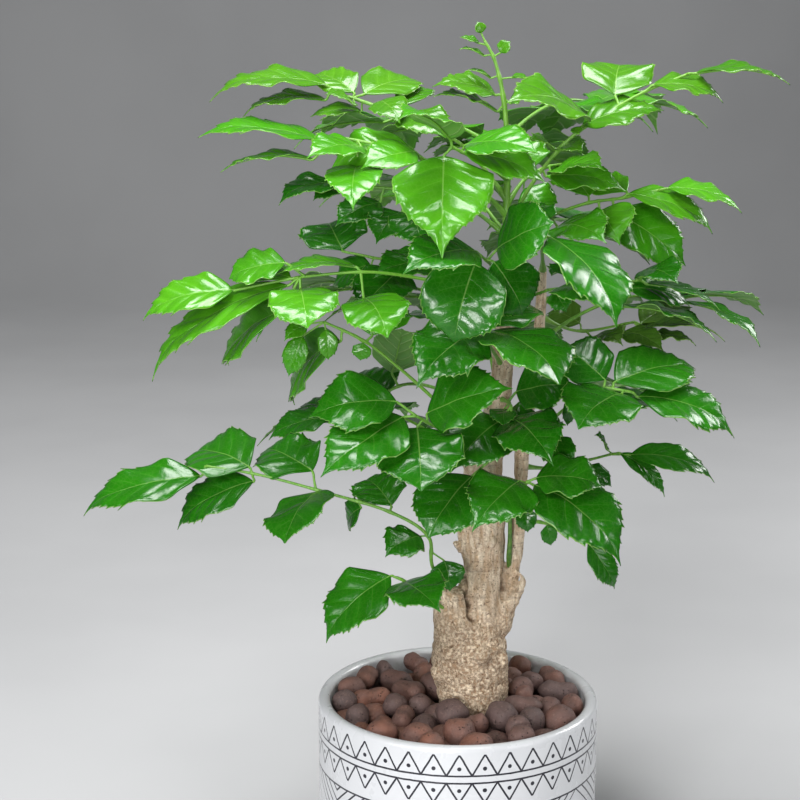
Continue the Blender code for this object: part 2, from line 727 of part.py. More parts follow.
def leaflet_mesh(leaf):
    """One closed leaflet: a toothed blade that thins to its edge, and its short stalk."""
    small = leaf.length < SMALL_LEAF
    teeth = SMALL_TEETH if small else TEETH
    ribs = SMALL_RIB if small else RIB
    thick = BLADE_THICK / 2 * (0.8 if small else 1)
    r = LEAF_STALK_RADIUS * (0.8 if small else 1)
    points = []

    def put(point):
        points.append(point)
        return len(points) - 1

    stalk_side = leaf.away.cross(leaf.up).normalized()
    stalk_up = stalk_side.cross(leaf.away)
    ends = {}
    order = ("right", "over", "left", "under")
    for key, offset in zip(order, (stalk_side, stalk_up, -stalk_side, -stalk_up)):
        ends[key] = put(leaf.joint + offset * r)
    faces = [tuple(ends[key] for key in reversed(order))]
    base = ends
    if leaf.reach > LEAF_STALK_SHOWN:
        base = {
            "right": put(leaf.spot(0, r)), "over": put(leaf.spot(0, 0, r)),
            "left": put(leaf.spot(0, -r)), "under": put(leaf.spot(0, 0, -r)),
        }
        for one, two in zip(order, order[1:] + order[:1]):
            faces.append((ends[one], ends[two], base[two], base[one]))
    point_tip = put(leaf.spot(1, 0))
    over = [(0, base["over"])] + [(u, put(leaf.spot(u, 0, thick))) for u in ribs] + [(1, point_tip)]
    under = [(0, base["under"])] + [(u, put(leaf.spot(u, 0, -thick))) for u in ribs] + [(1, point_tip)]
    for key, sign in (("right", 1), ("left", -1)):
        rim = [(0, base[key])]
        for u, tooth in teeth:
            rim.append((u, put(leaf.spot(u, sign * (half_width(u) + tooth) * leaf.half))))
        rim.append((1, point_tip))
        faces += [f for f in strip(rim, over, sign < 0) if len(set(f)) == 3]
        faces += [f for f in strip(rim, under, sign > 0) if len(set(f)) == 3]
    mesh = mesh_from_faces("leaflet", points, faces)
    body = bmesh.new()
    body.from_mesh(mesh)
    bmesh.ops.triangulate(body, faces=body.faces)
    bmesh.ops.recalc_face_normals(body, faces=body.faces)
    body.to_mesh(mesh)
    body.free()
    return mesh


# Blades are kept clear of each other by a rule: a blade that would cross what is already
# there swings its tip away from the viewer or toward them, turns its face, or shortens.
TEST_SHARES = (0.12, 0.3, 0.5, 0.7, 0.86, 1)
CLEAR_OVER = 1.9 * MM
SWINGS = (0, -6, 6, -12, 12, -20, 20, -28, 28, -38, 38)
TURNS = (0, 14, -14, 28, -28)
SHORTENINGS = (1, 0.88, 0.76, 0.62)
DEEPEST = 36
TEETH_OUT = 1.07
TIP_SHEET_HALF = 0.8 * MM
STEM_CLEARANCE = 0.4 * MM
STALK_CLEARANCE = 0.5 * MM


def blade_sheets(leaf, rises):
    """Plain sheets over and under a blade, which stand for it in the test for crossings."""
    points = []
    faces = []
    for rise in rises:
        start = len(points)
        for u in TEST_SHARES:
            half = max(half_width(u) * TEETH_OUT * leaf.half, TIP_SHEET_HALF)
            points += [leaf.spot(u, -half, rise), leaf.spot(u, 0, rise), leaf.spot(u, half, rise)]
        for k in range(len(TEST_SHARES) - 1):
            a = start + 3 * k
            faces += [(a, a + 1, a + 4, a + 3), (a + 1, a + 2, a + 5, a + 4)]
    return points, faces


def box_of(points):
    return [(min(p[k] for p in points), max(p[k] for p in points)) for k in range(3)]


class Standing:
    """What already stands in the way of new blades."""

    def __init__(self):
        self.things = []

    def add(self, owner, points, faces):
        tree = BVHTree.FromPolygons([tuple(p) for p in points], faces)
        self.things.append((owner, box_of(points), tree))

    def clear(self, owner, points, faces):
        box = box_of(points)
        tree = None
        for other, other_box, other_tree in self.things:
            if other == owner:
                continue
            if any(a[1] < b[0] or b[1] < a[0] for a, b in zip(box, other_box)):
                continue
            if tree is None:
                tree = BVHTree.FromPolygons([tuple(p) for p in points], faces)
            if tree.overlap(other_tree):
                return False
        return True

    def settled(self, owner, joint, base, tip, width, facing, lean):
        """The leaflet nearest to its wanted place that crosses nothing, or None."""
        view = (tip - VIEW_FROM).normalized()
        for shorter in SHORTENINGS:
            for turn in TURNS:
                for swing in SWINGS:
                    moved = base + (tip - base) * shorter - view * (swing * MM)
                    turned = facing + math.radians(turn)
                    leaf = Leaflet(joint, base, moved, width * shorter, turned, lean)
                    points, faces = blade_sheets(leaf, (CLEAR_OVER, -CLEAR_OVER))
                    if self.clear(owner, points, faces):
                        points, faces = blade_sheets(leaf, (0,))
                        self.add(None, points, faces)
                        return leaf
        return None


def ring_tube(course, thicker):
    """A six-sided sheet round a course of (point, radius) pairs."""
    points = []
    faces = []
    for i, (point, radius) in enumerate(course):
        ahead = course[min(i + 1, len(course) - 1)][0] - course[max(i - 1, 0)][0]
        side = ahead.cross(Vector((0.3, 1, 0.2))).normalized()
        other = ahead.cross(side).normalized()
        for k in range(6):
            turn = k * math.pi / 3
            points.append(point + (side * math.cos(turn) + other * math.sin(turn)) * (radius + thicker))
    for i in range(len(course) - 1):
        for k in range(6):
            a, b = 6 * i + k, 6 * i + (k + 1) % 6
            faces.append((a, b, b + 6, a + 6))
    return points, faces


def stalk_course(places):
    """A frond's stalk through the places, thinning toward its end."""
    thinning = (FROND_STALK_THIN - FROND_STALK_THICK) / (len(places) - 1)
    return [(place, FROND_STALK_THICK + thinning * i) for i, place in enumerate(places)]


def stem_point(stem, height):
    """The stem's own point at a height."""
    course = course_of(STEMS[stem])
    for (low, _), (high, _) in zip(course, course[1:]):
        if low.z <= height <= high.z:
            return low.lerp(high, (height - low.z) / (high.z - low.z))
    return course[-1][0]


def nearest_on(course, target):
    """The point of the course nearest to the target as the viewer sees them."""
    best = None
    for (start, _), (end, _) in zip(course, course[1:]):
        for k in range(9):
            point = start.lerp(end, k / 8)
            ray = (point - VIEW_FROM).normalized()
            apart = ((target - VIEW_FROM).normalized() - ray).length
            if best is None or apart < best[0]:
                best = (apart, point)
    return best[1]


def drawn_frond(stem, stalk, leaflets):
    """The stalk's course and its leaflets' wanted places, from what the viewer sees."""
    course = stalk_course([seen_at(*place) for place in stalk])
    wanted = []
    for base_x, base_y, tip_x, tip_y, toward, width, facing, lean in leaflets:
        joint = nearest_on(course[1:], seen_at(base_x, base_y, 0))
        behind = joint.y / MM
        base = seen_at(base_x, base_y, behind)
        flat = (seen_at(tip_x, tip_y, behind) - base).length
        depth = math.sqrt(max((width * MM / BLADE_RATIO) ** 2 - flat ** 2, 0)) / MM
        tip = seen_at(tip_x, tip_y, behind - toward * min(depth, DEEPEST))
        wanted.append((joint, base, tip, width * MM, math.radians(facing), math.radians(lean)))
    return course, wanted


def back_frond(stem, height, bearing, reach, draw):
    """A frond on the far side: an arching stalk, two pairs of leaflets and one at its end."""
    start = stem_point(stem, height)
    turn = math.radians(bearing)
    out = Vector((math.cos(turn), math.sin(turn), 0))
    side = Vector((-out.y, out.x, 0))
    places = []
    for share in (0, 0.25, 0.5, 0.75, 1):
        rise = reach * (BACK_RISE * share - BACK_DROOP * share ** 2)
        places.append(start + out * (reach * share) + Vector((0, 0, rise)))
    wanted = []
    for place, spread in BACK_PLACES:
        joint = places[place]
        length = draw.uniform(48, 62) * MM
        aim = (out * (1 - 0.5 * abs(spread)) + side * spread).normalized()
        aim = (aim + Vector((0, 0, draw.uniform(-0.5, -0.12)))).normalized()
        base = joint + aim * BACK_LEAF_STALK
        width = length * draw.uniform(0.58, 0.66)
        facing = math.radians(draw.uniform(-30, 5))
        lean = math.radians(draw.uniform(-14, 14))
        wanted.append((joint, base, base + aim * length, width, facing, lean))
    return stalk_course(places), wanted


def settled_fronds():
    """Every frond's stalk and its leaflets' settled places, by name."""
    standing = Standing()
    for stem in STEMS.values():
        standing.add(None, *ring_tube(course_of(stem), STEM_CLEARANCE))
    draw = random.Random(BACK_SEED)
    plans = {}
    for name, (stem, tone, stalk, leaflets) in FRONDS.items():
        plans[name] = (stem, tone, *drawn_frond(stem, stalk, leaflets))
    for count, (stem, height, bearing, reach) in enumerate(BACK_FRONDS):
        tone = "deep" if height < DEEP_BELOW else "bright"
        plans[f"frond_back_{count + 1}"] = (stem, tone, *back_frond(stem, height, bearing, reach, draw))
    for name, (_, _, course, _) in plans.items():
        clear_of_stem = course[0][0].lerp(course[1][0], 0.4)
        standing.add(name, *ring_tube([(clear_of_stem, course[0][1])] + course[1:], STALK_CLEARANCE))
    shoot_course = course_of(LEADER)
    shoot = []
    for base_x, base_y, tip_x, tip_y, toward, width, facing, lean in SHOOT_LEAVES:
        base = seen_at(base_x, base_y, 0)
        joint = nearest_on(shoot_course, base)
        tip = seen_at(tip_x, tip_y, -toward)
        leaf = Leaflet(joint, base, tip, width * MM, math.radians(facing), math.radians(lean))
        shoot.append(leaf)
        standing.add(None, *blade_sheets(leaf, (0,)))
    fronds = {}
    for name, (stem, tone, course, wanted) in plans.items():
        leaves = [standing.settled(name, *place) for place in wanted]
        fronds[name] = (stem, tone, course, [leaf for leaf in leaves if leaf])
    return fronds, shoot


def tree_of(obj):
    body = bmesh.new()
    body.from_mesh(obj.data)
    tree = BVHTree.FromBMesh(body)
    body.free()
    return tree


def seated(course, tree):
    """The stalk cut back to just under the stem's surface, and where and how it goes in."""
    course = list(course)
    near, facing, _, _ = tree.find_nearest(course[1][0])
    while (course[1][0] - near).dot(facing) < STEM_LEAVES_FREE:
        del course[1]
        near, facing, _, _ = tree.find_nearest(course[1][0])
    inside = course[0][0]
    outside = course[1][0]
    inward = (inside - outside).normalized()
    surface = tree.ray_cast(outside, inward)[0]
    start = surface + inward * SOCKET_DEPTH
    return [(start, course[0][1])] + course[1:], surface, inward


def main():
    clear_scene()
    home = new_collection("potted china doll plant")
    build_pot(home)
    build_potting_mix(home)
    build_pebbles(home)
    trunk = build_trunk(home)
    shoot_mesh = tube_mesh("leafy_shoot", course_of(LEADER), 1)
    leader = add_mesh("leafy_shoot", shoot_mesh, home, leaf_green("young"))
    fronds, shoot = settled_fronds()
    combine(leader, [add_mesh("leaflet", leaflet_mesh(leaf), home) for leaf in shoot], "UNION")
    carriers = {"trunk": trunk, "second_stem": trunk, "leader": leader}
    trees = {name: tree_of(obj) for name, obj in carriers.items()}
    sockets = {"trunk": [], "leafy_shoot": []}
    for name, (stem, tone, course, leaves) in fronds.items():
        course, surface, inward = seated(course, trees[stem])
        stalk = add_mesh(name, tube_mesh(name, course, 0), home, leaf_green(tone))
        blades = [add_mesh("leaflet", leaflet_mesh(leaf), home) for leaf in leaves]
        combine(stalk, blades, "UNION")
        largest_body(stalk)
        radius = course[0][1] + GAP
        bottom = surface + inward * (SOCKET_DEPTH + GAP)
        hole = tube_mesh("socket", [(bottom, radius), (surface - inward * SOCKET_REACH, radius)], 1)
        sockets[carriers[stem].name].append(add_mesh("socket", hole, home))
    combine(trunk, sockets["trunk"], "DIFFERENCE")
    combine(leader, sockets["leafy_shoot"], "DIFFERENCE")
    largest_body(trunk)
    largest_body(leader)


main()
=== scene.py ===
"""A potted china doll plant: a straight glazed pot with a line pattern, a bed of clay pebbles,
a woody trunk with a second stem, and a crown of glossy toothed leaflets.

Metres, +Z up. The origin is the centre of the pot's base, and -Y faces the viewer.
"""
import math
import random

import bmesh
import bpy
import numpy as np
from mathutils import Matrix, Vector, noise
from mathutils.bvhtree import BVHTree


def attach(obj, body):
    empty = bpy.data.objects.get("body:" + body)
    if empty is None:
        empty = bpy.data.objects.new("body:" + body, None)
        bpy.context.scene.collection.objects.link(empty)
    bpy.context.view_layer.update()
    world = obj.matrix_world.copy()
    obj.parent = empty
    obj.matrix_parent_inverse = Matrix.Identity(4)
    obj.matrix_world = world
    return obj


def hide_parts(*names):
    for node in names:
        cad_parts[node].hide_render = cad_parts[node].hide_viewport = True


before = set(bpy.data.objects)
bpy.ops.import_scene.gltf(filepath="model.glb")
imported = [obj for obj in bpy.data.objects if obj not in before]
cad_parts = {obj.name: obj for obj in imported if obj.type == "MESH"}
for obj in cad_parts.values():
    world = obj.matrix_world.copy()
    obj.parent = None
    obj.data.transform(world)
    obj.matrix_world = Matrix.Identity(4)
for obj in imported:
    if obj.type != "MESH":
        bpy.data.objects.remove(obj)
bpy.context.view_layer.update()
bpy.ops.object.select_all(action="DESELECT")

# The view and the studio. The camera stands a metre in front of the plant and looks down on it
# through a long lens. A large soft light hangs over the plant, weaker ones stand to its sides,
# and the floor is one pale sheet that is turned up into a wall behind it.
MM = 0.001
VIEW_FROM = Vector((0, -1.014, 0.5295))
VIEW_DOWN = math.radians(13.18)
VIEW_LEFT = math.radians(1.755)
LENS_MM = 90
SENSOR_MM = 36
FARTHEST_SEEN = 30

bpy.ops.object.camera_add(location=VIEW_FROM, rotation=(math.pi / 2 - VIEW_DOWN, 0, VIEW_LEFT))
camera = bpy.context.object
camera.name = "viewpoint"
camera.data.lens = LENS_MM
camera.data.sensor_width = SENSOR_MM
camera.data.clip_end = FARTHEST_SEEN
bpy.context.scene.camera = camera

# Each light: where it stands, the point it faces, its width and height, and its brightness.
SOFTBOXES = {
    "softbox_over": ((-0.04, -0.02, 1.4), (-0.04, 0, 0.3), (0.7, 0.5), 19),
    "softbox_high": ((-0.35, -1.1, 1.25), (0, 0, 0.3), (0.55, 0.35), 19),
    "softbox_left": ((-0.95, -0.85, 0.75), (0, 0, 0.25), (0.4, 0.55), 7),
    "softbox_right": ((1.0, -0.8, 0.7), (0, 0, 0.3), (0.35, 0.55), 5),
    "softbox_back_right": ((1.0, 0.6, 0.95), (0, 0, 0.3), (0.5, 0.5), 12),
    "softbox_front": ((-0.5, -2.1, 0.45), (0, 0, 0.22), (0.6, 0.5), 27),
}
AIR_COLOUR = (0.93, 0.96, 1, 1)
AIR_BRIGHTNESS = 0.06

for name, (place, aim, (wide, high), brightness) in SOFTBOXES.items():
    facing = (Vector(aim) - Vector(place)).to_track_quat("-Z", "Y")
    bpy.ops.object.light_add(type="AREA", location=place, rotation=facing.to_euler())
    light = bpy.context.object
    light.name = name
    light.data.shape = "RECTANGLE"
    light.data.size = wide
    light.data.size_y = high
    light.data.energy = brightness * math.pi * wide * high

studio_air = bpy.data.worlds.new("studio_air")
studio_air.use_nodes = True
studio_air.node_tree.nodes["Background"].inputs["Color"].default_value = AIR_COLOUR
studio_air.node_tree.nodes["Background"].inputs["Strength"].default_value = AIR_BRIGHTNESS
bpy.context.scene.world = studio_air
bpy.context.scene.view_settings.view_transform = "Standard"


class Value:
    """A value in a material's node tree, which is reckoned with like a number."""

    def __init__(self, skin, socket):
        self.skin = skin
        self.socket = socket

    def math(self, operation, *others):
        """The result of a Math node on this value and others."""
        return self.skin.node("Math", 0, dict(enumerate((self, *others))), operation=operation)

    def eased(self, low, high, start=0.0, end=1.0):
        """This value's smooth step from start to end as it goes from low to high."""
        limits = {"Value": self, "From Min": low, "From Max": high, "To Min": start, "To Max": end}
        return self.skin.node("MapRange", 0, limits, interpolation_type="SMOOTHSTEP")

    def __add__(self, other):
        return self.math("ADD", other)

    def __sub__(self, other):
        return self.math("SUBTRACT", other)

    def __rsub__(self, other):
        return self.math("MULTIPLY", -1).math("ADD", other)

    def __mul__(self, other):
        return self.math("MULTIPLY", other)

    def __gt__(self, other):
        return self.math("GREATER_THAN", other)

    def __lt__(self, other):
        return self.math("LESS_THAN", other)

    def __abs__(self):
        return self.math("ABSOLUTE")


class Skin:
    """A material that is built up from the coordinates of the piece it lies on, in metres."""

    def __init__(self, name, roughness):
        self.material = bpy.data.materials.new(name)
        self.material.use_nodes = True
        self.tree = self.material.node_tree
        self.shader = self.tree.nodes["Principled BSDF"]
        self.colour = None
        self.join(self.shader.inputs["Roughness"], roughness)
        self.here = self.node("TexCoord", "Object")

    def join(self, socket, value):
        """Sets a socket to a constant, or links a value of the tree to it."""
        if isinstance(value, Value):
            self.tree.links.new(value.socket, socket)
        else:
            socket.default_value = value

    def node(self, kind, output, inputs=None, **settings):
        """One output of a new node with these settings and inputs."""
        node = self.tree.nodes.new("ShaderNode" + kind)
        for setting, value in settings.items():
            setattr(node, setting, value)
        for socket, value in (inputs or {}).items():
            self.join(node.inputs[socket], value)
        return Value(self, node.outputs[output])

    def axis(self, number, place=None):
        """The place's measure along X, Y or Z, which are 0, 1 and 2."""
        return self.node("SeparateXYZ", number, {0: place or self.here})

    def stretched(self, scale):
        """The coordinates scaled, so that patterns on them are drawn out or flattened."""
        return self.node("Mapping", 0, {"Vector": self.here, "Scale": scale})

    def own(self, attribute):
        """A number that is stored with the mesh."""
        return self.node("Attribute", "Fac", attribute_name=attribute)

    def speckle(self, scale, detail=3.0, roughness=0.55, place=None):
        """Soft noise with so many spots to the metre."""
        wanted = {"Vector": place or self.here, "Scale": scale, "Detail": detail}
        return self.node("TexNoise", 0, {**wanted, "Roughness": roughness})

    def cells(self, scale, **settings):
        """Irregular cells, so many to the metre, as the distance to their middle or their edge."""
        wanted = {"Vector": self.here, "Scale": scale}
        return self.node("TexVoronoi", "Distance", wanted, **settings)

    def mix(self, share, one, two):
        """One colour turned into the other by a share from 0 to 1."""
        colours = {"Factor": share, 6: one, 7: two}
        return self.node("Mix", 2, colours, data_type="RGBA", clamp_factor=True)

    def paint(self, share, one, two):
        """Gives the whole material a colour between two others."""
        self.colour = self.mix(share, one, two)
        self.join(self.shader.inputs["Base Color"], self.colour)

    def tint(self, share, colour):
        """Lays another colour over the one so far, by a share from 0 to 1."""
        self.paint(share, self.colour, colour)

    def relief(self, height, depth, strength=1.0):
        """Bump from a height of 0 to 1 that stands for so many metres."""
        wanted = {"Height": height, "Distance": depth, "Strength": strength}
        self.join(self.shader.inputs["Normal"], self.node("Bump", 0, wanted))

    def lay_on(self, piece):
        """Makes this the only material of a piece."""
        piece.data.materials.clear()
        piece.data.materials.append(self.material)


def select_only(piece, kind, wanted):
    """Selects the edges or faces that pass a test, and no others, on a piece in edit mode."""
    bpy.ops.mesh.select_mode(type=kind)
    bpy.ops.mesh.select_all(action="DESELECT")
    cage = bmesh.from_edit_mesh(piece.data)
    for part in {"EDGE": cage.edges, "FACE": cage.faces}[kind]:
        part.select_set(wanted(part))
    bmesh.update_edit_mesh(piece.data)


FLOOR_SIZE = 7.0
FLOOR_BACK = 1.9
WALL_HEIGHT = 3.0
PAPER_GREYS = ((0.34, 0.343, 0.348, 1), (0.37, 0.373, 0.378, 1))

bpy.ops.mesh.primitive_plane_add(size=FLOOR_SIZE, location=(0, FLOOR_BACK - FLOOR_SIZE / 2, 0))
floor = bpy.context.object
floor.name = "floor_sweep"
bpy.ops.object.mode_set(mode="EDIT")
select_only(floor, "EDGE", lambda edge: all(vert.co.y > 0.4 * FLOOR_SIZE for vert in edge.verts))
bpy.ops.mesh.extrude_region_move(TRANSFORM_OT_translate={"value": (0, 0, WALL_HEIGHT)})
bpy.ops.object.mode_set(mode="OBJECT")
bpy.ops.object.shade_smooth()
bpy.ops.object.transform_apply(location=True, rotation=True, scale=True)
paper = Skin("pale_paper", 0.7)
paper.paint(paper.speckle(3).eased(0.3, 0.7), *PAPER_GREYS)
paper.lay_on(floor)

# The pot. It is a straight pot of stoneware with a thick rounded lip, turned and then dipped in
# a white satin glaze, with bands of triangles, dots and hatching printed round it in thin black
# lines. It is modelled as a round block, hollowed from the top, with its edges rounded.
POT_RADIUS = 75 * MM
POT_HEIGHT = 130 * MM
POT_WALL = 6.5 * MM
POT_FLOOR = 8 * MM
POT_SIDES = 180
BORE = POT_RADIUS - POT_WALL
# The rounded edges: the height they lie at, how wide they are rounded and in how many steps.
POT_ROUNDINGS = ((POT_HEIGHT, 0.47 * POT_WALL, 6), (0, 2.5 * MM, 4), (POT_FLOOR, 4 * MM, 4))
SMOOTH_UNDER = math.radians(40)


def round_block(name, radius, low, high, sides, ends="NGON"):
    """A round block between two heights, in edit mode with its top selected."""
    bpy.ops.object.select_all(action="DESELECT")
    bpy.ops.mesh.primitive_cylinder_add(vertices=sides, radius=radius, depth=high - low,
                                        location=(0, 0, (high + low) / 2), end_fill_type=ends)
    block = bpy.context.object
    block.name = name
    bpy.ops.object.transform_apply(location=True, rotation=True, scale=True)
    bpy.ops.object.mode_set(mode="EDIT")
    select_only(block, "FACE", lambda face: face.normal.z > 0.9)
    return block


def is_level_ring(edge, height):
    """Whether an edge runs level round the pot at a height."""
    one, two = (vert.co for vert in edge.verts)
    at_height = max(abs(one.z - height), abs(two.z - height)) < 0.1 * MM
    return at_height and abs(one.xy.length - two.xy.length) < 0.1 * MM


pot = round_block("glazed_pot", POT_RADIUS, 0, POT_HEIGHT, POT_SIDES)
bpy.ops.mesh.inset(thickness=POT_WALL)
bpy.ops.mesh.extrude_region_move(TRANSFORM_OT_translate={"value": (0, 0, POT_FLOOR - POT_HEIGHT)})
for height, offset, segments in POT_ROUNDINGS:
    select_only(pot, "EDGE", lambda edge: is_level_ring(edge, height))
    bpy.ops.mesh.bevel(offset=offset, segments=segments)
bpy.ops.object.mode_set(mode="OBJECT")
bpy.ops.object.shade_smooth_by_angle(angle=SMOOTH_UNDER)

# The pattern's heights are in millimetres from its middle, and it is the same above and below.
PATTERN_MIDDLE = 81.4
TRIANGLES = 36
TRIANGLE_WIDE = 13.09
PATTERN_TURN = 0.085
UPPER_TIP = 44.8
UPPER_DOT = 37.2
UPPER_LINE = 33.3
LOWER_LINE = 29.4
LOWER_DOT = 25.4
LOWER_TIP = 18.7
BAND_LINE = 13.0
DOT_RADIUS = 1.1
DOT_BLUR = 0.12
LINE_HALF = 0.5
LINE_BLUR = 0.1
HATCH_STEP = 5.7
HATCH_HALF = 0.62
ZIGZAGS = 8
ZIGZAG_TURN = 0.674
ZIGZAG_HALF = 0.3
GLAZE_WHITES = ((0.57, 0.58, 0.6, 1), (0.61, 0.62, 0.64, 1))
INK_BLACK = (0.006, 0.006, 0.014, 1)
SOIL_STAIN = (0.16, 0.1, 0.07, 1)

glaze = Skin("satin_glaze", 0.3)
x, y, z = (glaze.axis(number) for number in range(3))
wobble = (glaze.speckle(160) - 0.5) * 0.5
cells = x.math("ARCTAN2", y * -1) * (TRIANGLES / (2 * math.pi)) + (0.5 - PATTERN_TURN)
across = abs(cells.math("FRACT") - 0.5) * TRIANGLE_WIDE + wobble
level = z * 1000 - PATTERN_MIDDLE
height = abs(level) + wobble


def near_zero(distance, half=LINE_HALF):
    """Ink where a distance in millimetres is under half the line's width."""
    return abs(distance).eased(half + LINE_BLUR, half - LINE_BLUR)


def between(low, high):
    """1 where the height from the pattern's middle lies between two heights."""
    return (height > low) * (height < high)


def slanted_sides(tip, line):
    """The two slanted sides of a triangle with its tip and its level side at these heights."""
    slope = TRIANGLE_WIDE / 2 / abs(tip - line)
    side = (across - abs(height - tip) * slope) * (1 / math.sqrt(1 + slope ** 2))
    return near_zero(side) * between(min(tip, line), max(tip, line))


def dot(middle):
    """A dot on the triangle's centre line."""
    apart = (across.math("POWER", 2) + (height - middle).math("POWER", 2)).math("SQRT")
    return apart.eased(DOT_RADIUS + DOT_BLUR, DOT_RADIUS - DOT_BLUR)


wide_cells = (cells * (ZIGZAGS / TRIANGLES) + ZIGZAG_TURN).math("FRACT")
over_zigzag = level - abs(wide_cells - 0.5) * (4 * BAND_LINE) + BAND_LINE + wobble
hatching = near_zero(over_zigzag.math("PINGPONG", HATCH_STEP / 2), HATCH_HALF)
ink = hatching * (over_zigzag > -ZIGZAG_HALF) * between(-1, BAND_LINE)
for mark in (
    slanted_sides(UPPER_TIP, UPPER_LINE), slanted_sides(LOWER_TIP, LOWER_LINE),
    dot(UPPER_DOT), dot(LOWER_DOT),
    *(near_zero(height - line) for line in (UPPER_LINE, LOWER_LINE, BAND_LINE)),
):
    ink = ink.math("MAXIMUM", mark)
out = (x * x + y * y).math("SQRT")
ink = ink * (out > POT_RADIUS - 0.5 * MM) * glaze.speckle(900).eased(0.2, 0.42, 0.85, 1.0)
low_inside = z.eased(128 * MM, 114 * MM) * (out < BORE + 0.8 * MM)
glaze.paint(glaze.speckle(18).eased(0.3, 0.7), *GLAZE_WHITES)
glaze.tint(low_inside * glaze.speckle(120, 6).eased(0.42, 0.62) * 0.75, SOIL_STAIN)
glaze.tint(ink, INK_BLACK)
glaze.join(glaze.shader.inputs["Roughness"], glaze.speckle(70).eased(0.3, 0.7, 0.24, 0.36))
glaze.shader.inputs["Coat Weight"].default_value = 0.35
glaze.shader.inputs["Coat Roughness"].default_value = 0.12
glaze.relief(glaze.speckle(90, 4), 0.12 * MM, 0.5)
glaze.lay_on(pot)
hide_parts("pot")
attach(pot, "root")

# The potting mix. Dark bark and peat fill the pot up to the pebbles, and show between them as a
# crumbly surface. The block below is the frame's own, and the crumbs on top are a rough disc.
CRUMB_TOP = 113 * MM
CRUMB_BOTTOM = 104.3 * MM
CRUMB_SIDES = 96
CRUMB_RINGS = 16
CRUMB_RING_WIDE = 3.9 * MM
# The bumps of the crumbs: how high they are, and how many of them lie on a metre.
CRUMB_BUMPS = ((2.6 * MM, 140), (1.2 * MM, 420))
SOIL_BROWNS = ((0.016, 0.01, 0.007, 1), (0.075, 0.042, 0.026, 1))

soil = Skin("dark_soil", 0.95)
soil.paint(soil.speckle(300, 6).eased(0.35, 0.7), *SOIL_BROWNS)
soil.relief(soil.cells(420), 1.5 * MM)
soil.lay_on(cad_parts["potting_mix"])

crumb_layer = round_block("soil_crumbs", BORE - 0.6 * MM, CRUMB_BOTTOM, CRUMB_TOP, CRUMB_SIDES,
                          "TRIFAN")
for _ in range(CRUMB_RINGS):
    bpy.ops.mesh.inset(thickness=CRUMB_RING_WIDE)
bpy.ops.object.mode_set(mode="OBJECT")
for vert in crumb_layer.data.vertices:
    if vert.co.z > CRUMB_TOP - MM and vert.co.xy.length < BORE - 2 * MM:
        vert.co.z += sum(tall * noise.noise(vert.co * number) for tall, number in CRUMB_BUMPS)
bpy.ops.object.shade_smooth()
soil.lay_on(crumb_layer)
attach(crumb_layer, "root")

# The clay pebbles. They are balls and beans of fired clay, red-brown to grey-brown and matt, that
# lie loose on the soil round the trunk. Two shapes are modelled, a ball and a bean, and each
# copy is stretched, dented and turned its own way where it has settled against its neighbours.
BALLS = 52
BEANS = 30
BALL_RADIUS = (6.2 * MM, 9.2 * MM)
BALL_STRETCH = ((0.98, 0.9, 0.86), (1.12, 1.02, 0.98))
BEAN_RADIUS = (5.8 * MM, 7.8 * MM)
BEAN_STRETCH = ((0.94, 0.94, 0.9), (1.04, 1.04, 1.02))
BEAN_REACH = 1.05
BEAN_LONG = 1.5
BEAN_WAIST = 0.2
WAIST_REACH = 0.42
LUMPINESS = (0.1, 0.24)
LUMPS_WIDE = 0.9
# Finer dents: how deep they are, for a radius of 1, and how narrow.
DENTS = ((0.05, 2.6), (0.012, 8))
PEBBLE_TOP = 129.4 * MM
TRUNK_FOOT = Vector((10.5 * MM, 0, 0))
TRUNK_FOOT_RADIUS = 19.5 * MM
TRUNK_OVERLAP = 0.94
SETTLING_STEPS = 260
SETTLING_ROUNDS = 3
SINKING = 0.5 * MM
PUSHED_APART = 0.32
SUNK_IN_SOIL = 0.4
DROPPED_MM = (4, 26)
HIGHER_MM = (-2.5, 3.5)
LOBE_SHIFT_MM = (-5, 5)
MOUND = 8 * MM
MOUND_WIDE = 34 * MM

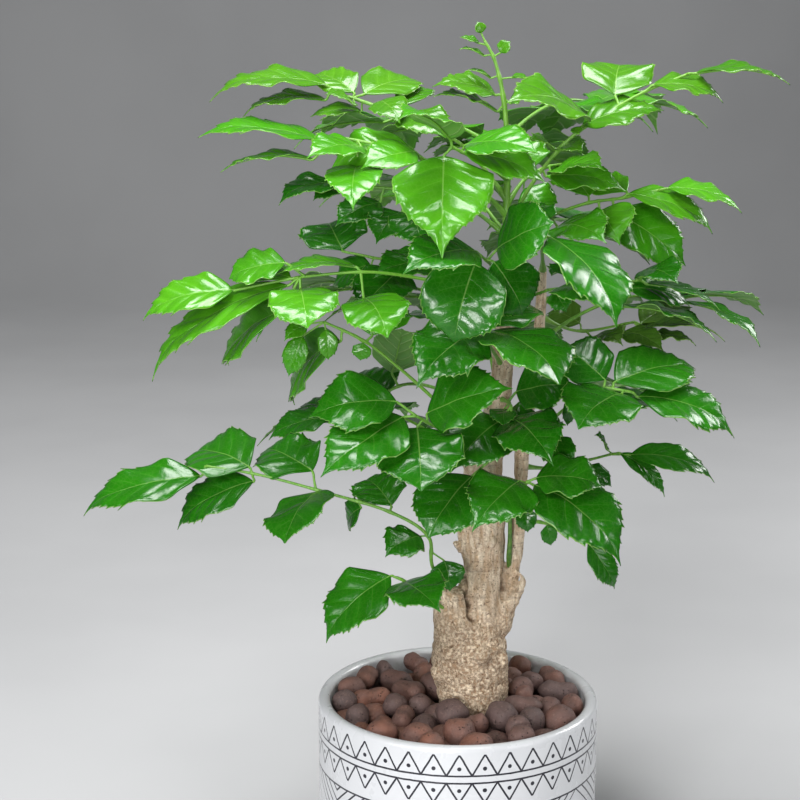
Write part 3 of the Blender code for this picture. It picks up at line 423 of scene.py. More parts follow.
draw = np.random.default_rng(12)
lobes = BALLS + 2 * BEANS
radii = np.concatenate([draw.uniform(*BALL_RADIUS, BALLS),
                        np.repeat(draw.uniform(*BEAN_RADIUS, BEANS), 2)])
bearing = draw.uniform(0, 2 * math.pi, lobes)
higher = draw.uniform(*HIGHER_MM, lobes) * MM
higher[BALLS + 1::2] = higher[BALLS::2]
out = (BORE - 8 * MM) * np.sqrt(draw.uniform(0.12, 1, lobes))
centres = np.stack([out * np.cos(bearing), out * np.sin(bearing),
                    CRUMB_TOP + draw.uniform(*DROPPED_MM, lobes) * MM], axis=1)
first = np.arange(BALLS, lobes, 2)
centres[first + 1] = centres[first] + draw.uniform(*LOBE_SHIFT_MM, (BEANS, 3)) * MM
reaches = radii[:, None] + radii[None, :]
for a in first:
    reaches[a, a + 1] = reaches[a + 1, a] = 0
for step in range(SETTLING_STEPS):
    centres[:, 2] -= SINKING * (1 - step / SETTLING_STEPS)
    for _ in range(SETTLING_ROUNDS):
        apart = centres[:, None] - centres[None, :]
        distance = np.linalg.norm(apart, axis=2) + np.eye(lobes)
        overlap = np.clip(reaches - distance, 0, None) * (1 - np.eye(lobes))
        centres += PUSHED_APART * np.sum(apart * (overlap / distance)[:, :, None], axis=1)
        held = centres[first + 1] - centres[first]
        length = np.linalg.norm(held, axis=1)[:, None]
        pull = 0.5 * held * (1 - BEAN_REACH * radii[first][:, None] / length)
        centres[first] += pull
        centres[first + 1] -= pull
        away = np.linalg.norm(centres[:, :2], axis=1)
        centres[:, :2] *= np.minimum(1, (BORE - 0.6 * MM - radii) / away)[:, None]
        from_trunk = centres[:, :2] - np.array(TRUNK_FOOT.xy)
        away = np.linalg.norm(from_trunk, axis=1)
        pushed = np.maximum(1, (TRUNK_FOOT_RADIUS + TRUNK_OVERLAP * radii) / away)[:, None]
        centres[:, :2] = np.array(TRUNK_FOOT.xy) + from_trunk * pushed
        heaped = MOUND * np.exp(-(away * pushed[:, 0] / MOUND_WIDE) ** 2)
        lowest = CRUMB_TOP + heaped + higher + SUNK_IN_SOIL * radii
        centres[:, 2] = np.maximum(centres[:, 2], lowest)
        centres[:, 2] = np.minimum(centres[:, 2], PEBBLE_TOP + heaped + higher - radii)


def pebble_shape(name, long, waist):
    """A round lump, stretched along X and narrowed round its middle."""
    bpy.ops.object.select_all(action="DESELECT")
    bpy.ops.mesh.primitive_ico_sphere_add(subdivisions=4, radius=1)
    lump = bpy.context.object
    lump.name = name
    for vert in lump.data.vertices:
        x, y, z = vert.co
        narrow = 1 - waist * math.exp(-(x / WAIST_REACH) ** 2)
        vert.co = Vector((x * long, y * narrow, z * narrow))
    bpy.ops.object.shade_smooth()
    return lump


def copy_of(form, name, attribute, value):
    """A copy of a form that stores a number of its own with its mesh."""
    shape = form.data.copy()
    stored = shape.attributes.new(attribute, "FLOAT", "POINT")
    stored.data.foreach_set("value", np.full(len(shape.vertices), value))
    piece = bpy.data.objects.new(name, shape)
    bpy.context.scene.collection.objects.link(piece)
    return piece


def joined(parts, name):
    """Joins objects in one, under a new name."""
    bpy.ops.object.select_all(action="DESELECT")
    for part in parts:
        part.select_set(True)
    bpy.context.view_layer.objects.active = parts[0]
    bpy.ops.object.join()
    whole = bpy.context.object
    whole.name = name
    return whole


ball = pebble_shape("ball_of_clay", 1, 0)
bean = pebble_shape("bean_of_clay", BEAN_LONG, BEAN_WAIST)
pebbles = []
for index in range(BALLS + BEANS):
    if index < BALLS:
        form = ball
        centre = Vector(centres[index])
        radius = radii[index]
        turned = Matrix.Rotation(draw.uniform(0, 6.28), 3, "Z")
        turned = turned @ Matrix.Rotation(draw.uniform(0, 3.14), 3, "X")
        stretch = Vector(draw.uniform(*BALL_STRETCH))
    else:
        form = bean
        lobe = BALLS + 2 * (index - BALLS)
        one, two = Vector(centres[lobe]), Vector(centres[lobe + 1])
        centre = (one + two) / 2
        radius = radii[lobe]
        turned = (two - one).to_track_quat("X", "Z").to_matrix()
        stretch = Vector(draw.uniform(*BEAN_STRETCH))
    seed = Vector(draw.uniform(0, 50, 3))
    lumpy = draw.uniform(*LUMPINESS)
    pebble = copy_of(form, "clay_pebble", "pebble_tint", draw.uniform(0, 1))
    for vert, start in zip(pebble.data.vertices, form.data.vertices):
        point = start.co
        dent = lumpy * noise.noise(point * LUMPS_WIDE + seed)
        for deep, narrow in DENTS:
            dent += deep * noise.noise(point * narrow + seed)
        formed = Vector(a * b for a, b in zip(point * (1 + dent), stretch))
        vert.co = centre + turned @ (formed * radius)
        past = vert.co.xy.length / (BORE - 0.4 * MM)
        if past > 1:
            vert.co.xy /= past
    pebbles.append(pebble)
for form in (ball, bean):
    bpy.data.objects.remove(form, do_unlink=True)
pebble_bed = joined(pebbles, "loose_clay_pebbles")

CLAY_BROWNS = ((0.1, 0.064, 0.06, 1), (0.23, 0.095, 0.062, 1))
CLAY_GREY = (0.085, 0.055, 0.052, 1)
CLAY_DUST = (0.27, 0.17, 0.135, 1)
PORE_BROWN = (0.03, 0.016, 0.014, 1)

fired = Skin("fired_clay", 0.66)
pored = fired.speckle(190, 2).eased(0.5, 0.58) * (1 - fired.cells(620).eased(0.1, 0.32))
fired.paint(fired.own("pebble_tint"), *CLAY_BROWNS)
fired.tint(fired.speckle(110, 4).eased(0.35, 0.68) * 0.55, CLAY_GREY)
fired.tint(fired.speckle(900, 4).eased(0.52, 0.78) * 0.55, CLAY_DUST)
fired.tint(pored, PORE_BROWN)
fired.relief(fired.speckle(1300, 5) * 0.35 + (1 - pored) * 0.65, 0.9 * MM)
fired.lay_on(pebble_bed)
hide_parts("clay_pebbles")
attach(pebble_bed, "root")

# The woody trunk. A swollen foot narrows to a straight stem, a thinner second stem leaves it on
# the right, and stubs of old branches stand out where it was cut back. The limbs are round bars
# that are melted into one body, and the bark's fibres and wrinkles are pressed into its surface.
FOCAL_LENGTH_PX = 2000
PICTURE_CENTRE_PX = 400
SAME_POINT = 0.02 * MM
FORWARD = Vector((
    -math.sin(VIEW_LEFT) * math.cos(VIEW_DOWN),
    math.cos(VIEW_LEFT) * math.cos(VIEW_DOWN),
    -math.sin(VIEW_DOWN),
))
RIGHTWARD = Vector((math.cos(VIEW_LEFT), math.sin(VIEW_LEFT), 0))
UPWARD = RIGHTWARD.cross(FORWARD)


def seen_at(px, py, behind):
    """The point seen at pixel px, py that lies so many millimetres behind the pot's axis."""
    ray = FORWARD * FOCAL_LENGTH_PX
    ray = ray + RIGHTWARD * (px - PICTURE_CENTRE_PX) + UPWARD * (PICTURE_CENTRE_PX - py)
    return VIEW_FROM + ray * ((behind * MM - VIEW_FROM.y) / ray.y)


def course_of(stem):
    """A stem's course in space, as (point, radius) pairs."""
    return [(seen_at(px, py, behind), radius * MM) for px, py, behind, radius in stem]


def rounded_course(course, pieces):
    """The course with points between its own, on a smooth curve through them."""
    fine = []
    last = len(course) - 1
    for i in range(last):
        before, start = course[max(i - 1, 0)][0], course[i][0]
        end, after = course[i + 1][0], course[min(i + 2, last)][0]
        for k in range(pieces):
            t = k / pieces
            point = 0.5 * (
                2 * start + (end - before) * t
                + (2 * before - 5 * start + 4 * end - after) * t ** 2
                + (3 * start - before - 3 * end + after) * t ** 3
            )
            fine.append((point, course[i][1] * (1 - t) + course[i + 1][1] * t))
    fine.append(course[last])
    return fine


def round_bars(name, courses, sides_level):
    """Closed bars along courses of (point, radius) pairs, bevelled round a path and made a mesh."""
    bpy.ops.object.select_all(action="DESELECT")
    bpy.ops.curve.primitive_nurbs_path_add()
    guide = bpy.context.object
    guide.name = name
    guide.data.splines.clear()
    for course in courses:
        spline = guide.data.splines.new("POLY")
        spline.points.add(len(course) - 1)
        for place, (point, radius) in zip(spline.points, course):
            place.co = (*point, 1)
            place.radius = radius
    guide.data.bevel_depth = 1
    guide.data.bevel_resolution = sides_level
    guide.data.use_fill_caps = True
    bpy.ops.object.convert(target="MESH")
    bars = bpy.context.object
    bpy.ops.object.mode_set(mode="EDIT")
    bpy.ops.mesh.select_all(action="SELECT")
    bpy.ops.mesh.remove_doubles(threshold=SAME_POINT)
    bpy.ops.mesh.normals_make_consistent(inside=False)
    bpy.ops.object.mode_set(mode="OBJECT")
    bpy.ops.object.shade_smooth()
    return bars


# Points of a stem: the pixel it is seen at, millimetres behind the pot's axis, its radius.
TRUNK = [
    (474, 706, 0, 18.5), (472, 685, 0, 19.6), (470, 660, 0, 20.6), (470, 640, 0, 19.5),
    (472, 620, 0, 16.5), (478, 598, 0, 12.8), (483, 573, 0, 10.8), (482, 548, 0, 11.8),
    (481, 522, 0, 13.0), (482, 496, 0, 12.0), (484, 470, 0, 10.2), (490, 440, 0, 8.2),
    (496, 412, 0, 6.8), (501, 382, 0, 5.8), (503, 352, 0, 5.4), (505, 326, 0, 5.0),
    (506, 302, 0, 4.6),
]
SECOND_STEM = [
    (486, 634, 2, 11.0), (497, 610, 1, 8.8), (508, 588, 1, 5.2), (514, 562, 2, 3.8),
    (518, 530, 3, 3.5), (520, 500, 3, 3.8), (521, 462, 4, 4.2), (526, 416, 5, 4.1),
    (533, 380, 5, 3.8), (538, 345, 4, 3.2), (541, 300, 2, 2.8), (543, 266, 0, 2.2),
]
WOODY_STUBS = [
    [(466, 652, -3, 16), (457, 622, -7, 12.6), (452, 603, -9, 9.2), (453, 589, -10, 5.5)],
    [(503, 610, 0, 5), (513, 598, -3, 3.6), (521, 587, -4, 2.5), (522, 577, -4, 1.8),
     (517, 571, -4, 1.2)],
    [(500, 352, 0, 4.4), (484, 345, -6, 4.0), (472, 339, -9, 3.8)],
    [(484, 476, -4, 6.5), (472, 464, -12, 5.2), (464, 452, -16, 4.2)],
    [(462, 552, -4, 2.6), (454, 541, -5, 1.3)],
]
LUMPS = [
    (441, 672, -8, 6), (498, 660, -9, 5.6), (470, 690, -12, 8), (452, 648, -13, 7),
    (489, 640, -8, 6), (459, 522, -5, 5.5), (447, 612, -12, 4.5), (490, 690, -8, 5.5),
    (490, 541, -10, 3.4), (480, 655, -16, 6), (468, 630, -12, 5),
]
# Creases in the bark: the pixels they run through, half their width in pixels, millimetres deep.
CREVICES = [
    ([(463, 576), (466, 596), (470, 616), (474, 622)], 1.7, 2.8),
    ([(505, 566), (503, 586), (503, 600)], 1.5, 1.8),
    ([(434, 640), (452, 646), (470, 640), (488, 644), (506, 636)], 2.2, 0.8),
    ([(436, 688), (456, 684), (478, 690), (504, 684)], 2.4, 0.9),
    ([(474, 572), (484, 574), (498, 572)], 1.3, 0.7),
    ([(482, 625), (486, 627)], 1.6, 2.0),
    ([(452, 622), (456, 628)], 1.5, 1.4),
    ([(468, 604), (474, 612)], 1.4, 1.6),
]
ROOT_END = 62 * MM
BARK_VOXEL = 0.76 * MM
BARK_EASE = 0.6
BARK_EASE_STEPS = 5
# The bark is crusted below one height and even above the other, and calmer where it is young.
CRUSTED = 165 * MM
EVEN = 205 * MM
OLD_WOOD = 230 * MM
YOUNG_WOOD = 330 * MM
CALMEST = 0.3
# The bark's unevenness: broad swells by their millimetres of depth, and how often each kind of
# mark comes back in a metre. Fibres wind round the wood, and rings and crinkles lie across it.
SWELLS = ((1.4, 52), (0.6, 130))
SPIRAL = 0.1
FIBRES = 300
FIBRE_STRETCH = 0.12
FUZZ = 2.3
RINGS = Vector((45, 45, 150))
CRUMBS = 330
GRAINS = 560
CRINKLES = Vector((120, 120, 330))
CLEFT_SHARPNESS = 3.2
# Creases are cut where the bark faces the viewer, and waver by a few pixels.
FACING_VIEWER = 0.3
WAVER_PX = 3
WAVERS = 150

foot = seen_at(*TRUNK[0][:3])
root = [(Vector((foot.x, foot.y, ROOT_END)), 7 * MM),
        (Vector((foot.x, foot.y, ROOT_END + 22 * MM)), 15 * MM)]
courses = [root + rounded_course(course_of(TRUNK), 4), rounded_course(course_of(SECOND_STEM), 4)]
courses += [rounded_course(course_of(stub), 3) for stub in WOODY_STUBS]
limbs = [round_bars("limbs", courses, 10)]
for px, py, behind, radius in LUMPS:
    bpy.ops.mesh.primitive_uv_sphere_add(segments=24, ring_count=14, radius=radius * MM,
                                         location=seen_at(px, py, behind))
    bpy.ops.object.transform_apply(location=True, rotation=True, scale=True)
    limbs.append(bpy.context.object)
trunk = joined(limbs, "woody_trunk")
melt = trunk.modifiers.new("melt", "REMESH")
melt.mode = "VOXEL"
melt.voxel_size = BARK_VOXEL
bpy.ops.object.modifier_apply(modifier="melt")
ease = trunk.modifiers.new("ease", "SMOOTH")
ease.factor = BARK_EASE
ease.iterations = BARK_EASE_STEPS
bpy.ops.object.modifier_apply(modifier="ease")


def to_polyline(px, py, line):
    """How many pixels a seen point lies from a line of seen points."""
    least = math.inf
    for (x0, y0), (x1, y1) in zip(line, line[1:]):
        wide, tall = x1 - x0, y1 - y0
        share = ((px - x0) * wide + (py - y0) * tall) / (wide ** 2 + tall ** 2)
        share = min(1, max(0, share))
        least = min(least, math.hypot(px - x0 - share * wide, py - y0 - share * tall))
    return least


def ramp(value, zero, one):
    """0 where a value is at zero or beyond it, 1 where it is at one, and straight between."""
    return min(1, max(0, (value - zero) / (one - zero)))


def ridged(point):
    """Noise whose zero crossings become narrow clefts, from 0 in a cleft to about 1."""
    return min(1, CLEFT_SHARPNESS * abs(noise.noise(point)))


surface = trunk.data
normals = [vert.normal.copy() for vert in surface.vertices]
bark_depth = np.empty(len(surface.vertices))
for vert, normal in zip(surface.vertices, normals):
    point = vert.co.copy()
    rough = ramp(point.z, EVEN, CRUSTED)
    slim = CALMEST + (1 - CALMEST) * ramp(point.z, YOUNG_WOOD, OLD_WOOD)
    swell = sum(deep * noise.noise(point * often) for deep, often in SWELLS)
    twisted = Vector((point.x + SPIRAL * point.z, point.y, point.z * FIBRE_STRETCH)) * FIBRES
    fibre = 0.6 * (ridged(twisted) - 0.7) + 0.4 * noise.noise(twisted * FUZZ)
    ring = ridged(point * RINGS) - 0.8
    crumb = 0.6 * (ridged(point * CRUMBS) - 0.6) + 0.7 * noise.noise(point * GRAINS)
    crinkle = ridged(point * CRINKLES) - 0.7
    fine = (1 - 0.55 * rough) * fibre + (0.25 + 0.2 * rough) * ring
    fine += rough * (crumb + 0.5 * crinkle)
    cleft = 0
    if normal.y < FACING_VIEWER:
        seen = point - VIEW_FROM
        ahead = seen.dot(FORWARD) / FOCAL_LENGTH_PX
        px = PICTURE_CENTRE_PX + seen.dot(RIGHTWARD) / ahead
        py = PICTURE_CENTRE_PX - seen.dot(UPWARD) / ahead
        for line, wide, deep in CREVICES:
            wavering = px + WAVER_PX * noise.noise(point * WAVERS)
            near = to_polyline(wavering, py, line) / wide
            cleft += deep * math.exp(-near * near)
    depth = slim * (swell + 0.55 * fine) - cleft
    # bark_depth is lower in the fibres' grooves and in the creases, and the bark is painted darker
    # there as shade.
    bark_depth[vert.index] = 0.6 + 0.5 * fine - 0.22 * cleft
    vert.co = point + normal * (depth * MM)
stored = surface.attributes.new("bark_depth", "FLOAT", "POINT")
stored.data.foreach_set("value", np.clip(bark_depth, 0, 1))
bpy.ops.object.shade_smooth()

BARK_BROWNS = ((0.63, 0.44, 0.28, 1), (0.95, 0.8, 0.62, 1))
BARK_WARM = (0.74, 0.57, 0.4, 1)
FOOT_BROWNS = ((0.34, 0.2, 0.11, 1), (0.94, 0.77, 0.57, 1))
# The painted shade that darkens the bark's clefts and grooves.
CLEFT_SHADE = (0.17, 0.095, 0.05, 1)
FLECK_BROWN = (0.17, 0.085, 0.04, 1)
STAIN_BROWN = (0.34, 0.24, 0.17, 1)
WRINKLE_BROWN = (0.2, 0.12, 0.07, 1)

bark = Skin("fibrous_bark", 0.85)
along = bark.stretched((1, 1, 0.2))
flat = bark.stretched((0.35, 0.35, 2.2))
streaks = bark.speckle(420, 6, 0.62, along).eased(0.38, 0.62)
crust = bark.speckle(620, 5, 0.7).eased(0.4, 0.6)
at_foot = bark.axis(2).eased(200 * MM, CRUSTED)
# Painted shade: where bark_depth is low, in the clefts and grooves, the bark is painted darker.
cleft_shade = bark.own("bark_depth").eased(0.36, -0.05)
bark.paint(streaks, *BARK_BROWNS)
bark.tint(bark.speckle(45, 3).eased(0.35, 0.65) * 0.4, BARK_WARM)
bark.tint(at_foot * 0.75, bark.mix(crust, *FOOT_BROWNS))
bark.tint(cleft_shade * 0.8, CLEFT_SHADE)
bark.tint(bark.speckle(600, 4, 0.65).eased(0.59, 0.66) * 0.8, FLECK_BROWN)
bark.tint(bark.speckle(75, 5, 0.7).eased(0.54, 0.68) * 0.4, STAIN_BROWN)
bark.tint(bark.speckle(130, 4, 0.6, flat).eased(0.58, 0.7) * 0.4, WRINKLE_BROWN)
bark.relief(streaks * 0.45 + crust * 0.55, 0.9 * MM)
bark.shader.inputs["Specular IOR Level"].default_value = 0.25
bark.lay_on(trunk)
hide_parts("trunk")
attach(trunk, "root")

# The blade of a leaflet. It is thin and glossy, broad and nearly round, with small sharp teeth that
# point forward and a short drip tip. Its side veins are sunk, and the blade swells between them.
# Five blades are modelled, each from a grid whose rows run as the side veins do.
BLADE_ROWS = 44
BLADE_COLUMNS = 22
SMALL_ROWS = 22
SMALL_COLUMNS = 12
SMALL_LEAF = 26 * MM
SLENDER_HALF = 0.29
ROUND_HALF = 0.43
BROAD_OUTLINE = [
    (0, 0.18), (0.03, 0.54), (0.08, 0.77), (0.16, 0.92), (0.27, 0.99), (0.4, 1.0), (0.53, 0.96),
    (0.65, 0.83), (0.75, 0.62), (0.82, 0.4), (0.88, 0.19), (0.93, 0.07), (1, 0),
]
ROUND_OUTLINE = [
    (0, 0.14), (0.03, 0.38), (0.08, 0.6), (0.16, 0.81), (0.28, 0.95), (0.42, 1.0), (0.56, 1.0),
    (0.68, 0.94), (0.78, 0.79), (0.86, 0.55), (0.91, 0.32), (0.95, 0.13), (1, 0),
]
HEART_OUTLINE = [
    (0, 0.26), (0.03, 0.55), (0.08, 0.76), (0.16, 0.91), (0.25, 0.99), (0.35, 1.0), (0.45, 0.96),
    (0.54, 0.87), (0.63, 0.71), (0.72, 0.5), (0.8, 0.29), (0.87, 0.13), (0.93, 0.05), (1, 0),
]
HEART_QUILTING = 1.7
LONG_OUTLINE = [
    (0, 0.08), (0.04, 0.4), (0.12, 0.72), (0.24, 0.94), (0.38, 1.0), (0.54, 0.94), (0.68, 0.75),
    (0.79, 0.48), (0.87, 0.22), (0.93, 0.07), (1, 0),
]
SLENDER = 0.31
VEIN_SLANT = (0.42, 0.85)
VEIN_CURVE = 0.42
SIDE_VEINS = 5.6
VEIN_SPREAD = 0.85
VEIN_STAGGER = 0.45
TEETH = 11
SMALL_TEETH = 5.5
TOOTH_POINTED = 3
TOOTH_UNEVEN = 0.35
TEETH_START = 0.1
TOOTH_FROM = 0.08
TOOTH_FULL = TOOTH_FROM + 1 / 6
TOOTH_TO = 0.86
TOOTH_LEAN = 0.2
QUILTING = 0.018
PUCKER = 0.009
MARGIN_POWER = 16
BLADE_TIP = 0.999
MARGIN_HALVINGS = 24
CORNER_STEPS = np.array((-0.03, -0.015, 0, 0.015, 0.03))
SAME_SHARE = 0.00001
BLADE_THICK = 0.38 * MM
ARCH = 0.09
FOLD = 0.12


def rounded_half_width(outline, u):
    """The blade's half width, with the corners of its outline rounded off."""
    shares, widths = zip(*outline)
    return float(np.mean(np.interp(u + CORNER_STEPS, shares, widths)))


def along_vein(w, a):
    """How far along the blade a side vein from w has come when it is a across."""
    return w + SLENDER * ((VEIN_SLANT[0] + VEIN_SLANT[1] * w) * a + VEIN_CURVE * a * a)


def margin_of_row(outline, w):
    """How far across the row from w meets the outline."""
    low, high = 0, 1.1
    for _ in range(MARGIN_HALVINGS):
        middle = (low + high) / 2
        if rounded_half_width(outline, along_vein(w, middle)) > middle:
            low = middle
        else:
            high = middle
    return low


def blade_form(name, outline, rows, columns, teeth, tooth_size):
    """A flat blade of length 1 and half width 1, with its teeth and its swollen quilting."""
    bpy.ops.object.select_all(action="DESELECT")
    bpy.ops.mesh.primitive_grid_add(x_subdivisions=rows, y_subdivisions=columns, size=1)
    sheet = bpy.context.object
    sheet.name = name
    margins = {}
    for vert in sheet.data.vertices:
        w = round(vert.co.x + 0.5, 6)
        t = 2 * vert.co.y
        if w not in margins:
            margins[w] = margin_of_row(outline, w) if w < BLADE_TIP else 0
        out = abs(t)
        phase = (w - TEETH_START) * teeth + (0.5 if t > 0 else 0)
        tooth = (phase % 1) ** TOOTH_POINTED * tooth_size
        tooth *= ramp(w, TOOTH_FROM, TOOTH_FULL) * (w < TOOTH_TO)
        uneven = math.sin(2.4 * math.floor(phase) + 3 * (t > 0))
        tooth *= 1 - TOOTH_UNEVEN + TOOTH_UNEVEN * uneven
        edge = out ** MARGIN_POWER
        a = out * margins[w] * (1 + tooth * edge)
        u = along_vein(w, a) + TOOTH_LEAN * tooth * edge
        between = SIDE_VEINS * w ** VEIN_SPREAD + (VEIN_STAGGER if t > 0 else 0)
        ends = min(1, 6 * w + 0.3) * min(1, 4 * (1 - w))
        swelling = abs(math.sin(math.pi * between)) ** 0.85 * out ** 0.5 * (1 - out ** 4)
        pucker = out ** 4 * math.sin(2 * math.pi * between + 0.8)
        relief = ends * (QUILTING * swelling + PUCKER * pucker)
        vert.co = (min(u, 1), math.copysign(a, t), relief)
    bpy.ops.object.mode_set(mode="EDIT")
    bpy.ops.mesh.select_all(action="SELECT")
    bpy.ops.mesh.remove_doubles(threshold=SAME_SHARE)
    bpy.ops.object.mode_set(mode="OBJECT")
    bpy.ops.object.shade_smooth()
    return sheet


# Each kind of blade: its outline, the rows and columns of its grid, and its teeth and their size.
BLADES = {
    "broad": (BROAD_OUTLINE, BLADE_ROWS, BLADE_COLUMNS, TEETH, 0.1),
    "round": (ROUND_OUTLINE, BLADE_ROWS, BLADE_COLUMNS, TEETH, 0.08),
    "heart": (HEART_OUTLINE, BLADE_ROWS, BLADE_COLUMNS, TEETH, 0.08),
    "long": (LONG_OUTLINE, BLADE_ROWS, BLADE_COLUMNS, TEETH, 0.13),
    "small": (BROAD_OUTLINE, SMALL_ROWS, SMALL_COLUMNS, SMALL_TEETH, 0.13),
}
blade_forms = {kind: blade_form(kind + "_blade", *build) for kind, build in BLADES.items()}

WIDEST_HALF = 0.53
LEAF_STALK_LEAST = 4 * MM
LEAF_STALK_NONE = 0.5 * MM
# A leaflet's stalk turns, step by step, until it points near enough the way that its blade does.
TURN_LEFT = 0.5
TURN_STEP = 0.4


class Leaflet:
    """A leaflet's place: where its stalk joins, its blade's base and tip, and how it faces."""

    def __init__(self, joint, base, tip, width, facing, lean):
        stalk = base - joint
        along = (tip - base).normalized()
        away = stalk.normalized() if stalk.length > LEAF_STALK_NONE else along
        while away.dot(along) < TURN_LEFT:
            away = (away + TURN_STEP * along).normalized()
        self.joint = joint
        self.base = joint + away * max(stalk.length, LEAF_STALK_LEAST)
        self.length = (tip - self.base).length
        self.along = (tip - self.base).normalized()
        upright = math.cos(lean)
        up = Vector((math.sin(lean), -math.sin(facing) * upright, math.cos(facing) * upright))
        self.up = (up - self.along * up.dot(self.along)).normalized()
        self.side = self.along.cross(self.up)
        self.half = min(width / 2, WIDEST_HALF * self.length)

    def spot(self, u, across, rise):
        """A point of the blade: share u along it, distance across it, height over its face."""
        arch = 4 * u * (1 - u) * ARCH * self.length
        fold = abs(across) * FOLD
        flat = self.base + self.along * (self.length * u) + self.side * across
        return flat + self.up * (arch + fold + rise)


# How one blade differs from the next: the limits of its bend, twist, droop, quilting, the waves
# of its margin, the unevenness of its face, and its share of the lighter colour.
HABITS = {
    "bend": (-0.04, 0.04),
    "twist": (-0.22, 0.22),
    "droop": (0.3, 1.3),
    "quilt": (0.6, 1.35),
    "wave": (0.05, 0.15),
    "waves": (1.3, 2.8),
    "phase": (0, 6.28),
    "lumps": (0.01, 0.04),
    "lump_phase": (0, 6.28),
    "tint": (0, 1),
}
FOLD_FLATTENS = 0.45
DROOPS_FROM = 0.72
SIDES_DIFFER = 2.1
FACE_OVER_RIB = 0.2 * MM
LEAF_SEED = 23
leaf_draw = random.Random(LEAF_SEED)


def placed(leaf, habit, u, a, rise):
    """Points of a leaflet, from their shares along and across its blade and height over it."""
    across = a * leaf.half
    out = np.abs(a)
    fold = np.abs(across) * FOLD * (1 - FOLD_FLATTENS * out)
    lift = 4 * u * (1 - u) * ARCH * leaf.length + fold
    lift = lift + habit["twist"] * (u - 0.5) * across
    lift = lift - habit["droop"] * leaf.length * np.clip(u - DROOPS_FROM, 0, 1) ** 2
    ripple = np.sin(2 * math.pi * habit["waves"] * u + habit["phase"] + SIDES_DIFFER * (a > 0))
    lift = lift + habit["wave"] * leaf.half * out ** 2 * ripple + rise
    lumps = np.sin(7.3 * u + habit["lump_phase"])
    lumps = lumps * np.sin(3.1 * a + 5.2 * u + 2.7 * habit["lump_phase"])
    lumps = lumps * np.clip(4 * u, 0, 1) * np.clip(5 - 5 * u, 0, 1)
    lift = lift + habit["lumps"] * leaf.half * lumps
    across = across - habit["bend"] * leaf.length * 4 * u * (1 - u)
    ways = (leaf.along * leaf.length, -leaf.side, leaf.up)
    points = np.tile(np.array(leaf.base), (len(u), 1))
    for way, distance in zip(ways, (u, across, lift)):
        points += np.outer(distance, np.array(way))
    return points


# The deep tone is the darker green of older leaves, and partly a painted shade for leaves low in
# the crown.
LEAF_TONES = {
    "young": ((0.032, 0.16, 0.003), (0.075, 0.25, 0.008)),
    "bright": ((0.028, 0.2, 0.003), (0.075, 0.31, 0.008)),
    "deep": ((0.007, 0.1, 0.0015), (0.018, 0.165, 0.003)),
    "olive": ((0.04, 0.12, 0.01), (0.08, 0.18, 0.02)),
}
VEIN_GREEN = (0.4, 0.62, 0.16)
UNDERSIDE = (0.13, 0.27, 0.06)
UNDERSIDE_VEIN = (0.3, 0.48, 0.16, 1)
STALK_GREEN = (0.16, 0.36, 0.04)
BLACK = (0, 0, 0)


def part_way(one, two, share):
    """The colour that lies a share of the way from one colour to another."""
    return tuple((1 - share) * a + share * b for a, b in zip(one, two)) + (1,)


def blade_grid(skin):
    """How far out a spot of the blade lies from its rib, and how far from the next side vein."""
    grid = skin.node("UVMap", 0, uv_map="UVMap")
    side = skin.axis(1, grid) * 2 - 1
    phase = skin.axis(0, grid).math("POWER", VEIN_SPREAD) * SIDE_VEINS + (side > 0) * VEIN_STAGGER
    return abs(side), phase.math("PINGPONG", 0.5)


def leaf_materials(tone):
    """The glossy upper face, the dull pale underside, and the green stalks of one tone of leaf."""
    dark, light = LEAF_TONES[tone]
    paler = part_way(light, VEIN_GREEN, 0.55)
    face = Skin(tone + "_leaf_face", 0.2)
    out, to_vein = blade_grid(face)
    vein = to_vein.eased(0.05, 0.01) * out.eased(0.95, 0.4)
    rib = out.eased(0.026, 0.01)
    # The margin is painted paler, partly as the blade's own pale rim and partly as a painted
    # highlight along its edge.
    margin = out.eased(0.975, 0.995)
    net = face.cells(420, feature="DISTANCE_TO_EDGE").eased(0.0, 0.12)
    mottled = face.speckle(60, 4).eased(0.3, 0.7)
    face.paint(mottled * 0.35 + face.own("leaf_tint") * 0.65, (*dark, 1), (*light, 1))
    face.tint(to_vein.eased(0.0, 0.3) * 0.2, part_way(dark, BLACK, 0.4))
    for share, strength in ((vein, 0.07), (1 - net, 0.05), (rib, 0.4), (margin, 0.6)):
        face.tint(share * strength, paler)
    gloss = face.speckle(90, 3).eased(0.3, 0.7, 0.16, 0.27)
    face.join(face.shader.inputs["Roughness"], gloss)
    height = net * 0.1 - vein * 0.25 - rib * 0.3 + face.speckle(170, 3) * 1.1
    face.relief(height, 0.35 * MM, 0.6)
    face.shader.inputs["Coat Weight"].default_value = 0.12
    face.shader.inputs["Coat Roughness"].default_value = 0.12
    face.shader.inputs["Specular IOR Level"].default_value = 0.36

    under = Skin(tone + "_leaf_underside", 0.55)
    vein = blade_grid(under)[1].eased(0.09, 0.02)
    pale = [part_way(light, UNDERSIDE, share) for share in (0.45, 0.75)]
    under.paint(under.speckle(90, 4).eased(0.3, 0.7), *pale)
    under.tint(vein * 0.5, UNDERSIDE_VEIN)
    under.relief(vein, 0.4 * MM, 0.8)

    stalk = Skin(tone + "_stalk", 0.42)
    streaks = stalk.speckle(700, 4, place=stalk.stretched((1, 1, 0.3))).eased(0.3, 0.7)
    stalk.paint(streaks, part_way(STALK_GREEN, light, 0.5), (*STALK_GREEN, 1))
    stalk.relief(streaks, 0.15 * MM, 0.6)
    return face.material, under.material, stalk.material


leaf_finish = {tone: leaf_materials(tone) for tone in LEAF_TONES}


